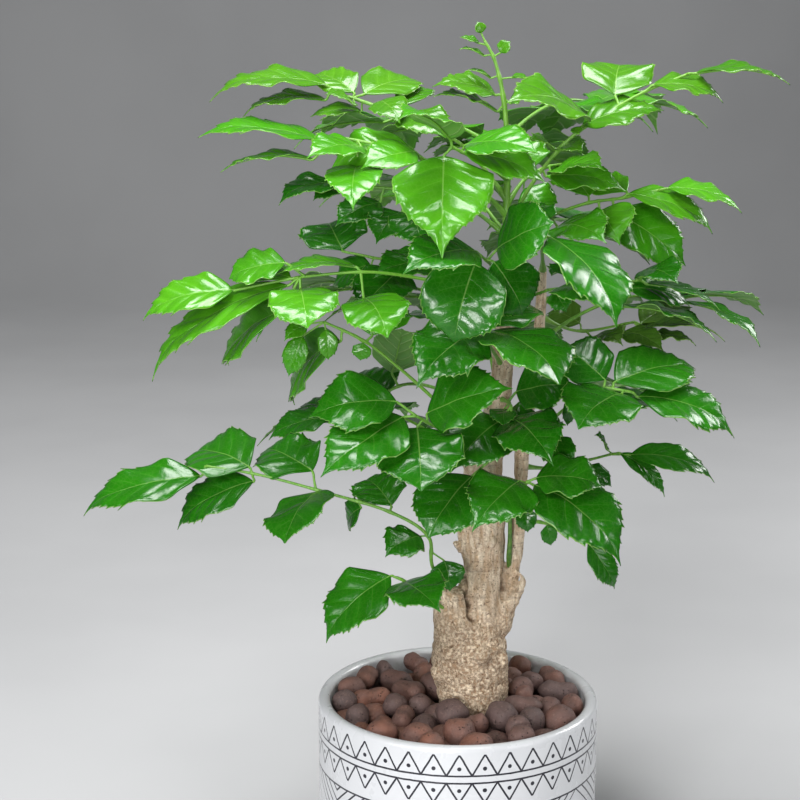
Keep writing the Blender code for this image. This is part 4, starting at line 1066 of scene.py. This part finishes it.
def leaflet_blade(leaf, habit, heart):
    """A copy of one of the blades, bent to the form and place of one leaflet."""
    kind = "long" if leaf.half < SLENDER_HALF * leaf.length else "broad"
    if leaf.half > ROUND_HALF * leaf.length:
        kind = "heart" if heart else "round"
    if leaf.length < SMALL_LEAF:
        kind = "small"
    blade = copy_of(blade_forms[kind], "blade", "leaf_tint", habit["tint"])
    flat = np.empty(3 * len(blade.data.vertices))
    blade.data.vertices.foreach_get("co", flat)
    u, a, relief = flat.reshape(-1, 3).T
    swell = habit["quilt"] * (HEART_QUILTING if kind == "heart" else 1)
    relief = relief * swell * leaf.length + FACE_OVER_RIB
    blade.data.vertices.foreach_set("co", placed(leaf, habit, u, a, relief).ravel())
    return blade


HEART_FROND = "frond_hero_top"
RIB_SHARES = (0.12, 0.35, 0.6, 0.82)
RIB_RADII = (0.6, 0.45, 0.3, 0.16)
LEAF_STALK_RADII = (0.85, 0.62, 0.72)
JOINT_REACH = 1.6 * MM
JOINT_SWELLING = 0.3
SMALL_SLIM = 0.7


def leaf_stalk(joint, leaf, habit, slim):
    """The course of a leaflet's own stalk, which runs on as the rib under its blade."""
    under = np.array([slim * (0.5 * r) * MM + BLADE_THICK for r in RIB_RADII])
    rib = placed(leaf, habit, np.array(RIB_SHARES), np.zeros(len(RIB_SHARES)), -under)
    points = [joint, joint.lerp(leaf.base, 0.5), leaf.base - leaf.up * 0.3 * MM]
    points += [Vector(point) for point in rib]
    radii = [r * slim * MM for r in LEAF_STALK_RADII + RIB_RADII]
    return rounded_course(list(zip(points, radii)), 3)


def foliage(name, tone, stalk, leaves):
    """One piece of green: a stalk and the leaflets that it carries."""
    face, under, green = leaf_finish[tone]
    habits = [
        {trait: leaf_draw.uniform(*limits) for trait, limits in HABITS.items()} for leaf in leaves
    ]
    heart = name.startswith(HEART_FROND)
    blades = [leaflet_blade(leaf, habit, heart) for leaf, habit in zip(leaves, habits)]
    sheets = joined(blades, name)
    sheets.data.materials.clear()
    sheets.data.materials.append(face)
    sheets.data.materials.append(under)
    body = sheets.modifiers.new("body", "SOLIDIFY")
    body.thickness = BLADE_THICK
    body.offset = -1
    body.material_offset = 1
    bpy.ops.object.modifier_apply(modifier="body")
    joints = [
        min((point for point, _ in stalk), key=lambda point: (point - leaf.joint).length)
        for leaf in leaves
    ]
    swollen = []
    for point, radius in stalk:
        near = min((point - joint).length for joint in joints) / JOINT_REACH
        swollen.append((point, radius * (1 + JOINT_SWELLING * math.exp(-near * near))))
    courses = [swollen]
    for leaf, joint, habit in zip(leaves, joints, habits):
        slim = SMALL_SLIM if leaf.length < SMALL_LEAF else 1
        courses.append(leaf_stalk(joint, leaf, habit, slim))
    bars = round_bars(name + "_stalks", courses, 3)
    bars.data.materials.append(green)
    return joined([sheets, bars], name)


# The leafy shoot. Above the wood the trunk goes on as a smooth green shoot, which thins to a soft
# growing tip with small young leaves that have not yet opened to their full width.
LEADER = [
    (506, 299.5, 0, 4.3), (507, 262, 0, 3.6), (506.5, 210, 0, 3.1), (507.5, 160, 0, 2.6),
    (505.6, 117, 0, 2.1), (502, 89, 0, 1.7), (498.6, 74, 0, 1.4), (493.5, 57, 0, 1.1),
    (484.6, 40.6, 0, 0.8),
]
SHOOT_RADII = (4.4, 3.0, 2.0, 1.6, 1.3, 1.05, 0.95, 0.8, 0.55)
SHOOT_LEAVES = [
    (485, 41, 477, 21.5, 0, 6, 40, 0), (487, 44, 460, 37, 0, 6, 20, 0),
    (491, 55, 459.5, 48, 2, 6, 10, 0), (498, 54, 510.5, 41, 0, 9, 40, 0),
    (494, 77, 468, 69.4, 2, 6, 10, 0), (512, 77, 528.6, 78, 0, 7, 18, 0),
    (503, 97, 433, 83, 4, 24, 20, 0), (504, 101, 531, 91, 2, 14, 24, 0),
    (503, 108, 434, 93, 4, 18, 6, 0),
]


LOOKS = 8
STALK_PIECES = 8


def nearest_on(course, target):
    """The point of the course nearest to the target as the viewer sees them."""
    best = None
    for (start, _), (end, _) in zip(course, course[1:]):
        for k in range(LOOKS + 1):
            point = start.lerp(end, k / LOOKS)
            ray = (point - VIEW_FROM).normalized()
            apart = ((target - VIEW_FROM).normalized() - ray).length
            if best is None or apart < best[0]:
                best = (apart, point)
    return best[1]


shoot_course = course_of(LEADER)
shoot_leaves = []
for base_x, base_y, tip_x, tip_y, toward, width, facing, lean in SHOOT_LEAVES:
    base = seen_at(base_x, base_y, 0)
    joint = nearest_on(shoot_course, base)
    tip = seen_at(tip_x, tip_y, -toward)
    turned = (math.radians(facing), math.radians(lean))
    shoot_leaves.append(Leaflet(joint, base, tip, width * MM, *turned))
slim_course = [(point, radius * MM) for (point, _), radius in zip(shoot_course, SHOOT_RADII)]
shoot_stalk = rounded_course(slim_course, STALK_PIECES)
shoot = foliage("green_shoot", "young", shoot_stalk, shoot_leaves)
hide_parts("leafy_shoot")
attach(shoot, "root")

# The fronds. Each is a leaf of the plant: a thin green stalk that leaves the wood or the shoot,
# and the leaflets that it carries in pairs along it and at its end. The ones on the far side are
# placed by a rule. Blades settle beside each other, so that none passes through another.

# For each frond: the stem it grows from, its tone, its stalk (pixels, millimetres behind the
# pot's axis) and its leaflets. A leaflet has its base and tip pixels, 1 where its tip comes
# toward the viewer or -1 where it points away, its width in millimetres, and the degrees
# that its face turns from the sky toward the viewer and then toward the right.
FRONDS = {
    "frond_hero_top": (
        "leader", "bright",
        [(507, 178, 0), (482, 163, -24), (452, 147, -44)],
        [(444, 156, 442, 258, 1, 49, 50, 0), (452, 140, 402, 112, 1, 30, 26, -8),
         (464, 143, 539, 152, 1, 28, 31, 6), (456, 150, 548, 182, 1, 27, 30, 8)],
    ),
    "frond_hero_right": (
        "second_stem", "deep",
        [(543, 270, 0), (542, 250, -26), (541, 234, -44)],
        [(551, 235, 619, 326, 1, 48, 46, 38), (540, 228, 524, 206, -1, 22, 32, 0)],
    ),
    "frond_hero_centre": (
        "leader", "deep",
        [(507, 288, 0), (492, 266, -32), (481, 256, -50)],
        [(476, 262, 454, 342, 0.35, 41, 62, 0), (479, 248, 403, 270, 1, 33, 30, 0),
         (490, 254, 524, 315, 0.2, 33, 42, 6), (497, 249, 553, 222, -0.3, 36, 34, -26)],
    ),
    "frond_hero_middle": (
        "trunk", "deep",
        [(486, 452, 0), (452, 436, -36), (416, 416, -58)],
        [(416, 427, 421, 489, 1, 50, 44, 0), (403, 417, 320, 475, 0.4, 38, 36, -6),
         (397, 402, 308, 416, 0.2, 38, 34, -4), (427, 414, 511, 386, 0.4, 37, 40, 4)],
    ),
    "frond_hero_low_right": (
        "second_stem", "deep",
        [(519, 500, 2), (523, 490, -26), (527, 482, -44)],
        [(532, 484, 624, 560, 1, 43, 43, 26), (536, 478, 602, 485, 0.2, 30, 26, 0),
         (523, 481, 473, 527, 1, 35, 42, 0), (526, 508, 528, 533, 0.2, 11, 45, 0)],
    ),
    "frond_right_low_inner": (
        "second_stem", "deep",
        [(516, 524, 2), (540, 522, 10), (572, 534, 16)],
        [(588, 542, 617, 589, 1, 17, 40, 8), (540, 517, 551, 546, 1, 9, 45, 0)],
    ),
    "frond_low_centre": (
        "trunk", "deep",
        [(488, 456, 0), (490, 458, -20), (488, 462, -42)],
        [(472, 476, 428, 536, 1, 36, 45, -10)],
    ),
    "frond_inner_centre": (
        "trunk", "deep",
        [(499, 398, 0), (508, 402, -16), (511, 406, -26)],
        [(516, 392, 572, 384, 0.2, 32, 38, 0), (506, 406, 505, 427, 1, 14, 45, 0),
         (510, 418, 553, 462, 1, 35, 39, 0), (502, 420, 452, 470, 1, 35, 38, 0)],
    ),
    "frond_left_long": (
        "leader", "bright",
        [(505, 294, 0), (440, 282, -22), (370, 272, -38), (300, 277, -40)],
        [(288, 285, 144, 372, 1, 29, 28, -26), (300, 289, 307, 327, 1, 34, 40, 0),
         (283, 310, 222, 362, -1, 34, 37, -16), (234, 290, 140, 315, -1, 26, 31, 0),
         (310, 250, 228, 277, -1, 26, 27, 0), (364, 270, 268, 277, 1, 22, 4, 0),
         (361, 298, 387, 334, 1, 32, 36, 0), (291, 278, 220, 287, 1, 20, 26, 0)],
    ),
    "frond_low_left_long": (
        "trunk", "deep",
        [(468, 612, 0), (434, 570, -16), (428, 536, -20), (390, 512, -18), (324, 492, -14),
         (260, 475, -10), (206, 466, -8)],
        [(204, 477, 79, 508, 1, 29, 28, 0), (252, 470, 189, 452, -1, 38, 32, 0),
         (256, 475, 174, 526, 1, 30, 30, -16), (321, 490, 283, 541, 1, 38, 42, -34),
         (322, 472, 262, 448, -1, 36, 32, 0), (395, 508, 362, 478, -1, 28, 35, 0),
         (358, 503, 347, 525, -0.5, 18, 45, 0), (446, 550, 450, 592, 0.3, 24, 50, 0),
         (426, 536, 385, 555, 0.4, 25, 28, 0)],
    ),
    "frond_lowest_left": (
        "trunk", "deep",
        [(466, 622, 0), (434, 602, -22), (410, 584, -34), (398, 578, -36)],
        [(394, 575, 323, 640, 1, 34, 36, -16), (401, 579, 440, 609, 1, 32, 33, 0)],
    ),
    "frond_right_middle": (
        "second_stem", "deep",
        [(532, 384, 4), (562, 387, -14), (604, 388, -28), (632, 392, -30)],
        [(636, 395, 735, 431, 1, 34, 25, 0), (612, 384, 697, 366, -1, 37, 28, 0),
         (606, 384, 562, 346, -1, 38, 34, 0), (624, 391, 579, 424, 1, 40, 36, -8),
         (573, 397, 567, 427, 1, 7, 40, 0)],
    ),
    "frond_right_low_back": (
        "second_stem", "deep",
        [(522, 466, 4), (546, 468, 18), (572, 464, 30), (612, 454, 36)],
        [(630, 455, 717, 477, 1, 21, 26, 0), (620, 453, 667, 496, 1, 11, 40, 0),
         (611, 453, 596, 434, 1, 10, 30, 0), (586, 462, 613, 486, 1, 12, 38, 0),
         (566, 466, 561, 442, 1, 12, 38, 0)],
    ),
    "frond_right_back": (
        "second_stem", "olive",
        [(540, 316, 4), (560, 326, 14), (586, 331, 24), (634, 322, 30)],
        [(632, 324, 726, 336, 1, 20, 0, 0), (640, 324, 684, 310, -1, 22, 27, 0),
         (650, 336, 697, 342, 1, 14, 8, 0), (622, 326, 664, 350, 1, 18, 26, 0),
         (584, 326, 546, 312, 1, 22, 30, 0), (590, 340, 622, 342, 1, 20, 30, 0)],
    ),
    "frond_right_upper": (
        "second_stem", "deep",
        [(541, 302, 2), (580, 290, 10), (640, 280, 12)],
        [(646, 283, 722, 309, 1, 20, 4, 0), (638, 266, 678, 282, 1, 24, 36, 0),
         (622, 287, 692, 305, 1, 22, 30, 0), (594, 286, 563, 261, -1, 31, 32, 0)],
    ),
    "frond_right_inner": (
        "trunk", "deep",
        [(505, 318, 0), (524, 300, -14), (548, 290, -26)],
        [(558, 288, 603, 304, 1, 26, 31, 0), (546, 283, 567, 312, 1, 25, 42, 0)],
    ),
    "frond_centre_right": (
        "trunk", "deep",
        [(502, 366, 0), (490, 346, -26), (483, 334, -40)],
        [(488, 330, 561, 381, 1, 46, 38, 30), (478, 332, 417, 382, 1, 38, 38, 0),
         (488, 326, 544, 309, -1, 30, 30, 0)],
    ),
    "frond_top_left": (
        "leader", "young",
        [(507, 200, 0), (482, 166, 2), (455, 140, 0), (400, 115, -4), (332, 91, 0)],
        [(332, 84, 208, 92, 1, 30, 12, 0), (356, 94, 312, 73, -1, 22, 27, 0),
         (363, 93, 421, 81, -1, 28, 28, 0), (358, 101, 326, 93, 1, 15, 27, 0),
         (328, 101, 240, 112, 1, 22, 10, 0), (364, 112, 310, 116, 1, 16, 16, 0),
         (378, 97, 400, 122, 1, 19, 40, 0), (396, 108, 436, 86, 0.4, 18, 26, 0),
         (405, 114, 446, 136, 1, 26, 31, 0)],
    ),
    "frond_upper_left": (
        "leader", "bright",
        [(507, 216, 0), (470, 180, -10), (430, 162, -18), (386, 147, -22), (334, 136, -20)],
        [(325, 143, 198, 132, 1, 27, 10, 0), (331, 167, 220, 170, 1, 20, 1, 0),
         (361, 142, 307, 155, 1, 25, 27, 0), (430, 140, 327, 168, 1, 32, 29, 0),
         (425, 149, 361, 167, 1, 24, 36, 0), (358, 166, 353, 207, 1, 28, 40, 0),
         (446, 168, 412, 190, 1, 22, 30, 0)],
    ),
    "frond_left_fourth": (
        "leader", "deep",
        [(507, 236, 0), (466, 206, 4), (420, 192, 6), (384, 188, 8), (346, 185, 8)],
        [(341, 184, 278, 200, 1, 24, 14, 0), (340, 189, 313, 200, 1, 12, 24, 0),
         (384, 203, 335, 225, 1, 22, 34, 0), (405, 213, 376, 243, 1, 23, 38, 0),
         (412, 210, 422, 245, 1, 28, 44, 0)],
    ),
    "frond_left_dark": (
        "leader", "deep",
        [(506, 280, 0), (460, 268, 12), (410, 262, 14), (374, 258, 12)],
        [(340, 256, 328, 221, -1, 44, 44, 0), (403, 272, 359, 315, 1, 32, 34, 0),
         (438, 263, 374, 274, 1, 27, 32, 0), (372, 262, 332, 286, 1, 26, 27, 0)],
    ),
    "frond_left_small": (
        "trunk", "bright",
        [(489, 444, 0), (440, 404, -16), (404, 372, -22), (366, 342, -26), (324, 322, -28)],
        [(325, 326, 328, 361, 1, 10, 51, 0), (303, 336, 288, 377, 1, 13, 43, 0),
         (358, 328, 360, 361, 1, 10, 45, 0), (306, 324, 284, 340, 1, 10, 38, 0),
         (340, 341, 290, 404, -0.4, 32, 46, 0), (372, 336, 392, 302, -1, 32, 34, 0)],
    ),
    "frond_left_inner": (
        "trunk", "deep",
        [(489, 436, 0), (452, 396, 14), (408, 384, 24), (372, 402, 28), (346, 424, 30)],
        [(331, 417, 267, 437, 1, 22, 24, 0), (352, 420, 300, 404, -1, 28, 27, 0),
         (388, 396, 352, 374, -1, 30, 30, 0), (392, 373, 402, 328, 0.3, 27, -60, 0)],
    ),
    "frond_centre_dark": (
        "second_stem", "deep",
        [(526, 414, 5), (540, 418, -10), (550, 430, -18)],
        [(548, 424, 502, 428, 1, 30, 34, 0), (550, 438, 567, 471, 1, 19, 42, 0)],
    ),
    "frond_top_right": (
        "leader", "young",
        [(507, 232, 0), (530, 187, -5), (566, 142, -10), (600, 118, -10), (640, 94, -5),
         (688, 74, 0)],
        [(695, 73, 791, 82, 1, 25, 5, 0), (640, 84, 725, 97, 1, 27, 15, 0),
         (612, 96, 622, 62, -1, 36, 38, 0), (577, 127, 664, 109, 1, 28, 22, 0),
         (590, 122, 508, 99, 1, 36, 32, 0), (560, 109, 574, 127, 1, 10, 45, 0),
         (560, 148, 530, 138, 1, 14, 30, 0), (546, 141, 583, 150, 1, 18, 24, 0)],
    ),
    "frond_right_top_back": (
        "leader", "bright",
        [(507, 204, 0), (524, 180, 12), (544, 168, 20), (562, 164, 24)],
        [(548, 170, 604, 167, 1, 26, 22, 0), (546, 176, 627, 189, 1, 25, 28, 0),
         (536, 172, 520, 140, -1, 28, 27, 0), (524, 189, 556, 222, 0.6, 30, 42, 10)],
    ),
    "frond_right_arm": (
        "leader", "bright",
        [(507, 252, 0), (540, 222, 10), (584, 204, 18), (622, 198, 24), (660, 190, 28)],
        [(664, 189, 743, 211, 1, 24, 14, 0), (621, 197, 716, 228, 1, 26, 22, 0),
         (628, 196, 574, 190, -1, 27, 26, 0), (614, 212, 688, 264, 1, 34, 42, 6),
         (599, 211, 619, 242, 1, 31, 50, -8), (590, 200, 560, 172, -1, 26, 26, 0),
         (555, 229, 606, 241, 1, 30, 42, 0)],
    ),
}
# The fronds on the far side: their stem, the height they leave it at, their bearing in degrees,
# where 90 is straight away from the viewer, and their reach in metres.
BACK_FRONDS = [
    ("trunk", 245 * MM, 128, 0.105), ("second_stem", 262 * MM, 52, 0.100),
    ("trunk", 292 * MM, 96, 0.115), ("trunk", 322 * MM, 140, 0.100),
    ("leader", 352 * MM, 70, 0.105), ("leader", 378 * MM, 118, 0.100),
    ("leader", 402 * MM, 88, 0.085), ("second_stem", 322 * MM, 30, 0.085),
    ("leader", 428 * MM, 50, 0.070), ("leader", 418 * MM, 142, 0.075),
]
BACK_SEED = 41
BACK_RISE = 0.62
BACK_DROOP = 0.42
BACK_LEAF_STALK = 6 * MM
BACK_SHARES = (0, 0.25, 0.5, 0.75, 1)
BACK_PLACES = ((2, 0.78), (2, -0.78), (4, 0.95), (4, -0.95), (4, 0))
# What is drawn for each of their leaflets: its length, how steeply it points down, its width as
# a share of its length, and the degrees that its face turns and leans.
BACK_LENGTHS = (48, 62)
BACK_FALLS = (-0.5, -0.12)
BACK_WIDTHS = (0.58, 0.66)
BACK_FACINGS = (-30, 5)
BACK_LEANS = (-14, 14)
DEEP_BELOW = 370 * MM
BLADE_RATIO = 0.64
OUTLINE = [
    (0, 0.05), (0.05, 0.5), (0.14, 0.8), (0.28, 0.98), (0.42, 1.0), (0.58, 0.86),
    (0.72, 0.58), (0.83, 0.28), (0.9, 0.11), (1, 0),
]
FROND_STALK_THICK = 1.3 * MM
FROND_STALK_THIN = 0.8 * MM
# A stalk is swollen where it leaves its stem.
SWOLLEN_REACH = 9 * MM
SWOLLEN = 0.7
SLIMMER = 0.8
STEMS = {"trunk": TRUNK, "second_stem": SECOND_STEM, "leader": LEADER}


def half_width(u):
    """A plain blade's half width, which keeps its neighbours off."""
    for (u0, w0), (u1, w1) in zip(OUTLINE, OUTLINE[1:]):
        if u <= u1:
            return w0 + (w1 - w0) * (u - u0) / (u1 - u0)
    return 0


# Blades are kept clear of each other by a rule: a blade that would cross what is already
# there swings its tip away from the viewer or toward them, turns its face, or shortens.
TEST_SHARES = (0.12, 0.3, 0.5, 0.7, 0.86, 1)
CLEAR_OVER = 1.9 * MM
SWINGS = (0, -6, 6, -12, 12, -20, 20, -28, 28, -38, 38)
TURNS = (0, 14, -14, 28, -28)
SHORTENINGS = (1, 0.88, 0.76, 0.62)
DEEPEST = 36
TEETH_OUT = 1.07
TIP_SHEET_HALF = 0.8 * MM
STEM_CLEARANCE = 0.4 * MM
STALK_CLEARANCE = 0.5 * MM
# A stalk is tested from here on, as a share of its first reach, since it grows out of its stem.
STALK_FREE = 0.4
TUBE_SIDES = 6
TUBE_SEAM = Vector((0.3, 1, 0.2))


def blade_sheets(leaf, rises):
    """Plain sheets over and under a blade, which stand for it in the test for crossings."""
    points = []
    faces = []
    for rise in rises:
        start = len(points)
        for u in TEST_SHARES:
            half = max(half_width(u) * TEETH_OUT * leaf.half, TIP_SHEET_HALF)
            points += [leaf.spot(u, -half, rise), leaf.spot(u, 0, rise), leaf.spot(u, half, rise)]
        for k in range(len(TEST_SHARES) - 1):
            a = start + 3 * k
            faces += [(a, a + 1, a + 4, a + 3), (a + 1, a + 2, a + 5, a + 4)]
    return points, faces


def box_of(points):
    """The least and the greatest measure of the points along each axis."""
    return [(min(p[k] for p in points), max(p[k] for p in points)) for k in range(3)]


class Standing:
    """What already stands in the way of new blades."""

    def __init__(self):
        self.things = []

    def add(self, owner, points, faces):
        """Puts a thing in the way of every owner but its own."""
        tree = BVHTree.FromPolygons([tuple(p) for p in points], faces)
        self.things.append((owner, box_of(points), tree))

    def clear(self, owner, points, faces):
        """Whether the faces cross nothing that stands, apart from the owner's own things."""
        box = box_of(points)
        tree = None
        for other, other_box, other_tree in self.things:
            apart = any(a[1] < b[0] or b[1] < a[0] for a, b in zip(box, other_box))
            if other == owner or apart:
                continue
            if tree is None:
                tree = BVHTree.FromPolygons([tuple(p) for p in points], faces)
            if tree.overlap(other_tree):
                return False
        return True

    def settled(self, owner, joint, base, tip, width, facing, lean):
        """The leaflet nearest to its wanted place that crosses nothing, or None."""
        view = (tip - VIEW_FROM).normalized()
        for shorter in SHORTENINGS:
            for turn in TURNS:
                for swing in SWINGS:
                    moved = base + (tip - base) * shorter - view * (swing * MM)
                    turned = facing + math.radians(turn)
                    leaf = Leaflet(joint, base, moved, width * shorter, turned, lean)
                    if self.clear(owner, *blade_sheets(leaf, (CLEAR_OVER, -CLEAR_OVER))):
                        self.add(None, *blade_sheets(leaf, (0,)))
                        return leaf
        return None


def ring_tube(course, thicker):
    """A plain sheet round a course of (point, radius) pairs."""
    points = []
    faces = []
    for i, (point, radius) in enumerate(course):
        ahead = course[min(i + 1, len(course) - 1)][0] - course[max(i - 1, 0)][0]
        side = ahead.cross(TUBE_SEAM).normalized()
        other = ahead.cross(side).normalized()
        for k in range(TUBE_SIDES):
            turn = k * math.pi / (TUBE_SIDES / 2)
            outward = side * math.cos(turn) + other * math.sin(turn)
            points.append(point + outward * (radius + thicker))
    for i in range(len(course) - 1):
        for k in range(TUBE_SIDES):
            a, b = TUBE_SIDES * i + k, TUBE_SIDES * i + (k + 1) % TUBE_SIDES
            faces.append((a, b, b + TUBE_SIDES, a + TUBE_SIDES))
    return points, faces


def stalk_course(places):
    """A frond's stalk through the places, thinning toward its end."""
    thinning = (FROND_STALK_THIN - FROND_STALK_THICK) / (len(places) - 1)
    return [(place, FROND_STALK_THICK + thinning * i) for i, place in enumerate(places)]


def stem_point(stem, height):
    """The stem's own point at a height."""
    course = course_of(STEMS[stem])
    for (low, _), (high, _) in zip(course, course[1:]):
        if low.z <= height <= high.z:
            return low.lerp(high, (height - low.z) / (high.z - low.z))
    return course[-1][0]


def drawn_frond(stalk, leaflets):
    """The stalk's course and its leaflets' wanted places, from what the viewer sees."""
    course = stalk_course([seen_at(*place) for place in stalk])
    wanted = []
    for base_x, base_y, tip_x, tip_y, toward, width, facing, lean in leaflets:
        joint = nearest_on(course[1:], seen_at(base_x, base_y, 0))
        behind = joint.y / MM
        base = seen_at(base_x, base_y, behind)
        flat = (seen_at(tip_x, tip_y, behind) - base).length
        depth = math.sqrt(max((width * MM / BLADE_RATIO) ** 2 - flat ** 2, 0)) / MM
        tip = seen_at(tip_x, tip_y, behind - toward * min(depth, DEEPEST))
        wanted.append((joint, base, tip, width * MM, math.radians(facing), math.radians(lean)))
    return course, wanted


def back_frond(stem, height, bearing, reach, draw):
    """A frond on the far side: an arching stalk, two pairs of leaflets and one at its end."""
    start = stem_point(stem, height)
    turn = math.radians(bearing)
    out = Vector((math.cos(turn), math.sin(turn), 0))
    side = Vector((-out.y, out.x, 0))
    places = []
    for share in BACK_SHARES:
        rise = reach * (BACK_RISE * share - BACK_DROOP * share ** 2)
        places.append(start + out * (reach * share) + Vector((0, 0, rise)))
    wanted = []
    for place, spread in BACK_PLACES:
        joint = places[place]
        length = draw.uniform(*BACK_LENGTHS) * MM
        aim = (out * (1 - 0.5 * abs(spread)) + side * spread).normalized()
        aim = (aim + Vector((0, 0, draw.uniform(*BACK_FALLS)))).normalized()
        base = joint + aim * BACK_LEAF_STALK
        width = length * draw.uniform(*BACK_WIDTHS)
        facing = math.radians(draw.uniform(*BACK_FACINGS))
        lean = math.radians(draw.uniform(*BACK_LEANS))
        wanted.append((joint, base, base + aim * length, width, facing, lean))
    return stalk_course(places), wanted


standing = Standing()
for stem in STEMS.values():
    standing.add(None, *ring_tube(course_of(stem), STEM_CLEARANCE))
draw = random.Random(BACK_SEED)
plans = {}
for name, (_, tone, stalk, leaflets) in FRONDS.items():
    plans[name] = (tone, *drawn_frond(stalk, leaflets))
for count, (stem, height, bearing, reach) in enumerate(BACK_FRONDS):
    # Back fronds low on the plant take the deep tone, partly as painted shade.
    tone = "deep" if height < DEEP_BELOW else "bright"
    frond = back_frond(stem, height, bearing, reach, draw)
    plans[f"frond_back_{count + 1}"] = (tone, *frond)
for name, (_, course, _) in plans.items():
    clear_of_stem = course[0][0].lerp(course[1][0], STALK_FREE)
    standing.add(name, *ring_tube([(clear_of_stem, course[0][1])] + course[1:], STALK_CLEARANCE))
for leaf in shoot_leaves:
    standing.add(None, *blade_sheets(leaf, (0,)))

for name, (tone, course, wanted) in plans.items():
    leaves = [standing.settled(name, *place) for place in wanted]
    leaves = [leaf for leaf in leaves if leaf]
    start = course[0][0]
    stalk = []
    for point, radius in rounded_course(course, STALK_PIECES):
        near = (point - start).length / SWOLLEN_REACH
        stalk.append((point, radius * (SLIMMER + SWOLLEN * math.exp(-near * near))))
    frond = foliage(name + "_leaves", tone, stalk, leaves)
    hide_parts(name)
    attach(frond, "root")
    "leaf_" + tone
for form in blade_forms.values():
    bpy.data.objects.remove(form, do_unlink=True)

# A bare sprout. It is a thin green rod that stands straight up in the gap between the two stems,
# grown out of the wood where they part, and swells a little where it leaves the bark.
SPROUT = [(509, 566, 1, 1.3), (509, 556, -3, 1.4), (510, 536, -4, 1.15), (510, 510, -5, 1.05)]
# The sprout's greens are dark, partly its own colour and partly painted shade of the gap between
# the stems.
SHADED_SPROUT_GREENS = ((0.04, 0.12, 0.012, 1), (0.09, 0.2, 0.02, 1))

sprout = round_bars("bare_sprout", [rounded_course(course_of(SPROUT), 6)], 6)
rind = Skin("sprout_skin", 0.5)
mottled = rind.speckle(500, 4).eased(0.35, 0.65)
rind.paint(mottled, *SHADED_SPROUT_GREENS)
rind.relief(mottled, 0.1 * MM, 0.6)
rind.lay_on(sprout)
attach(sprout, "root")
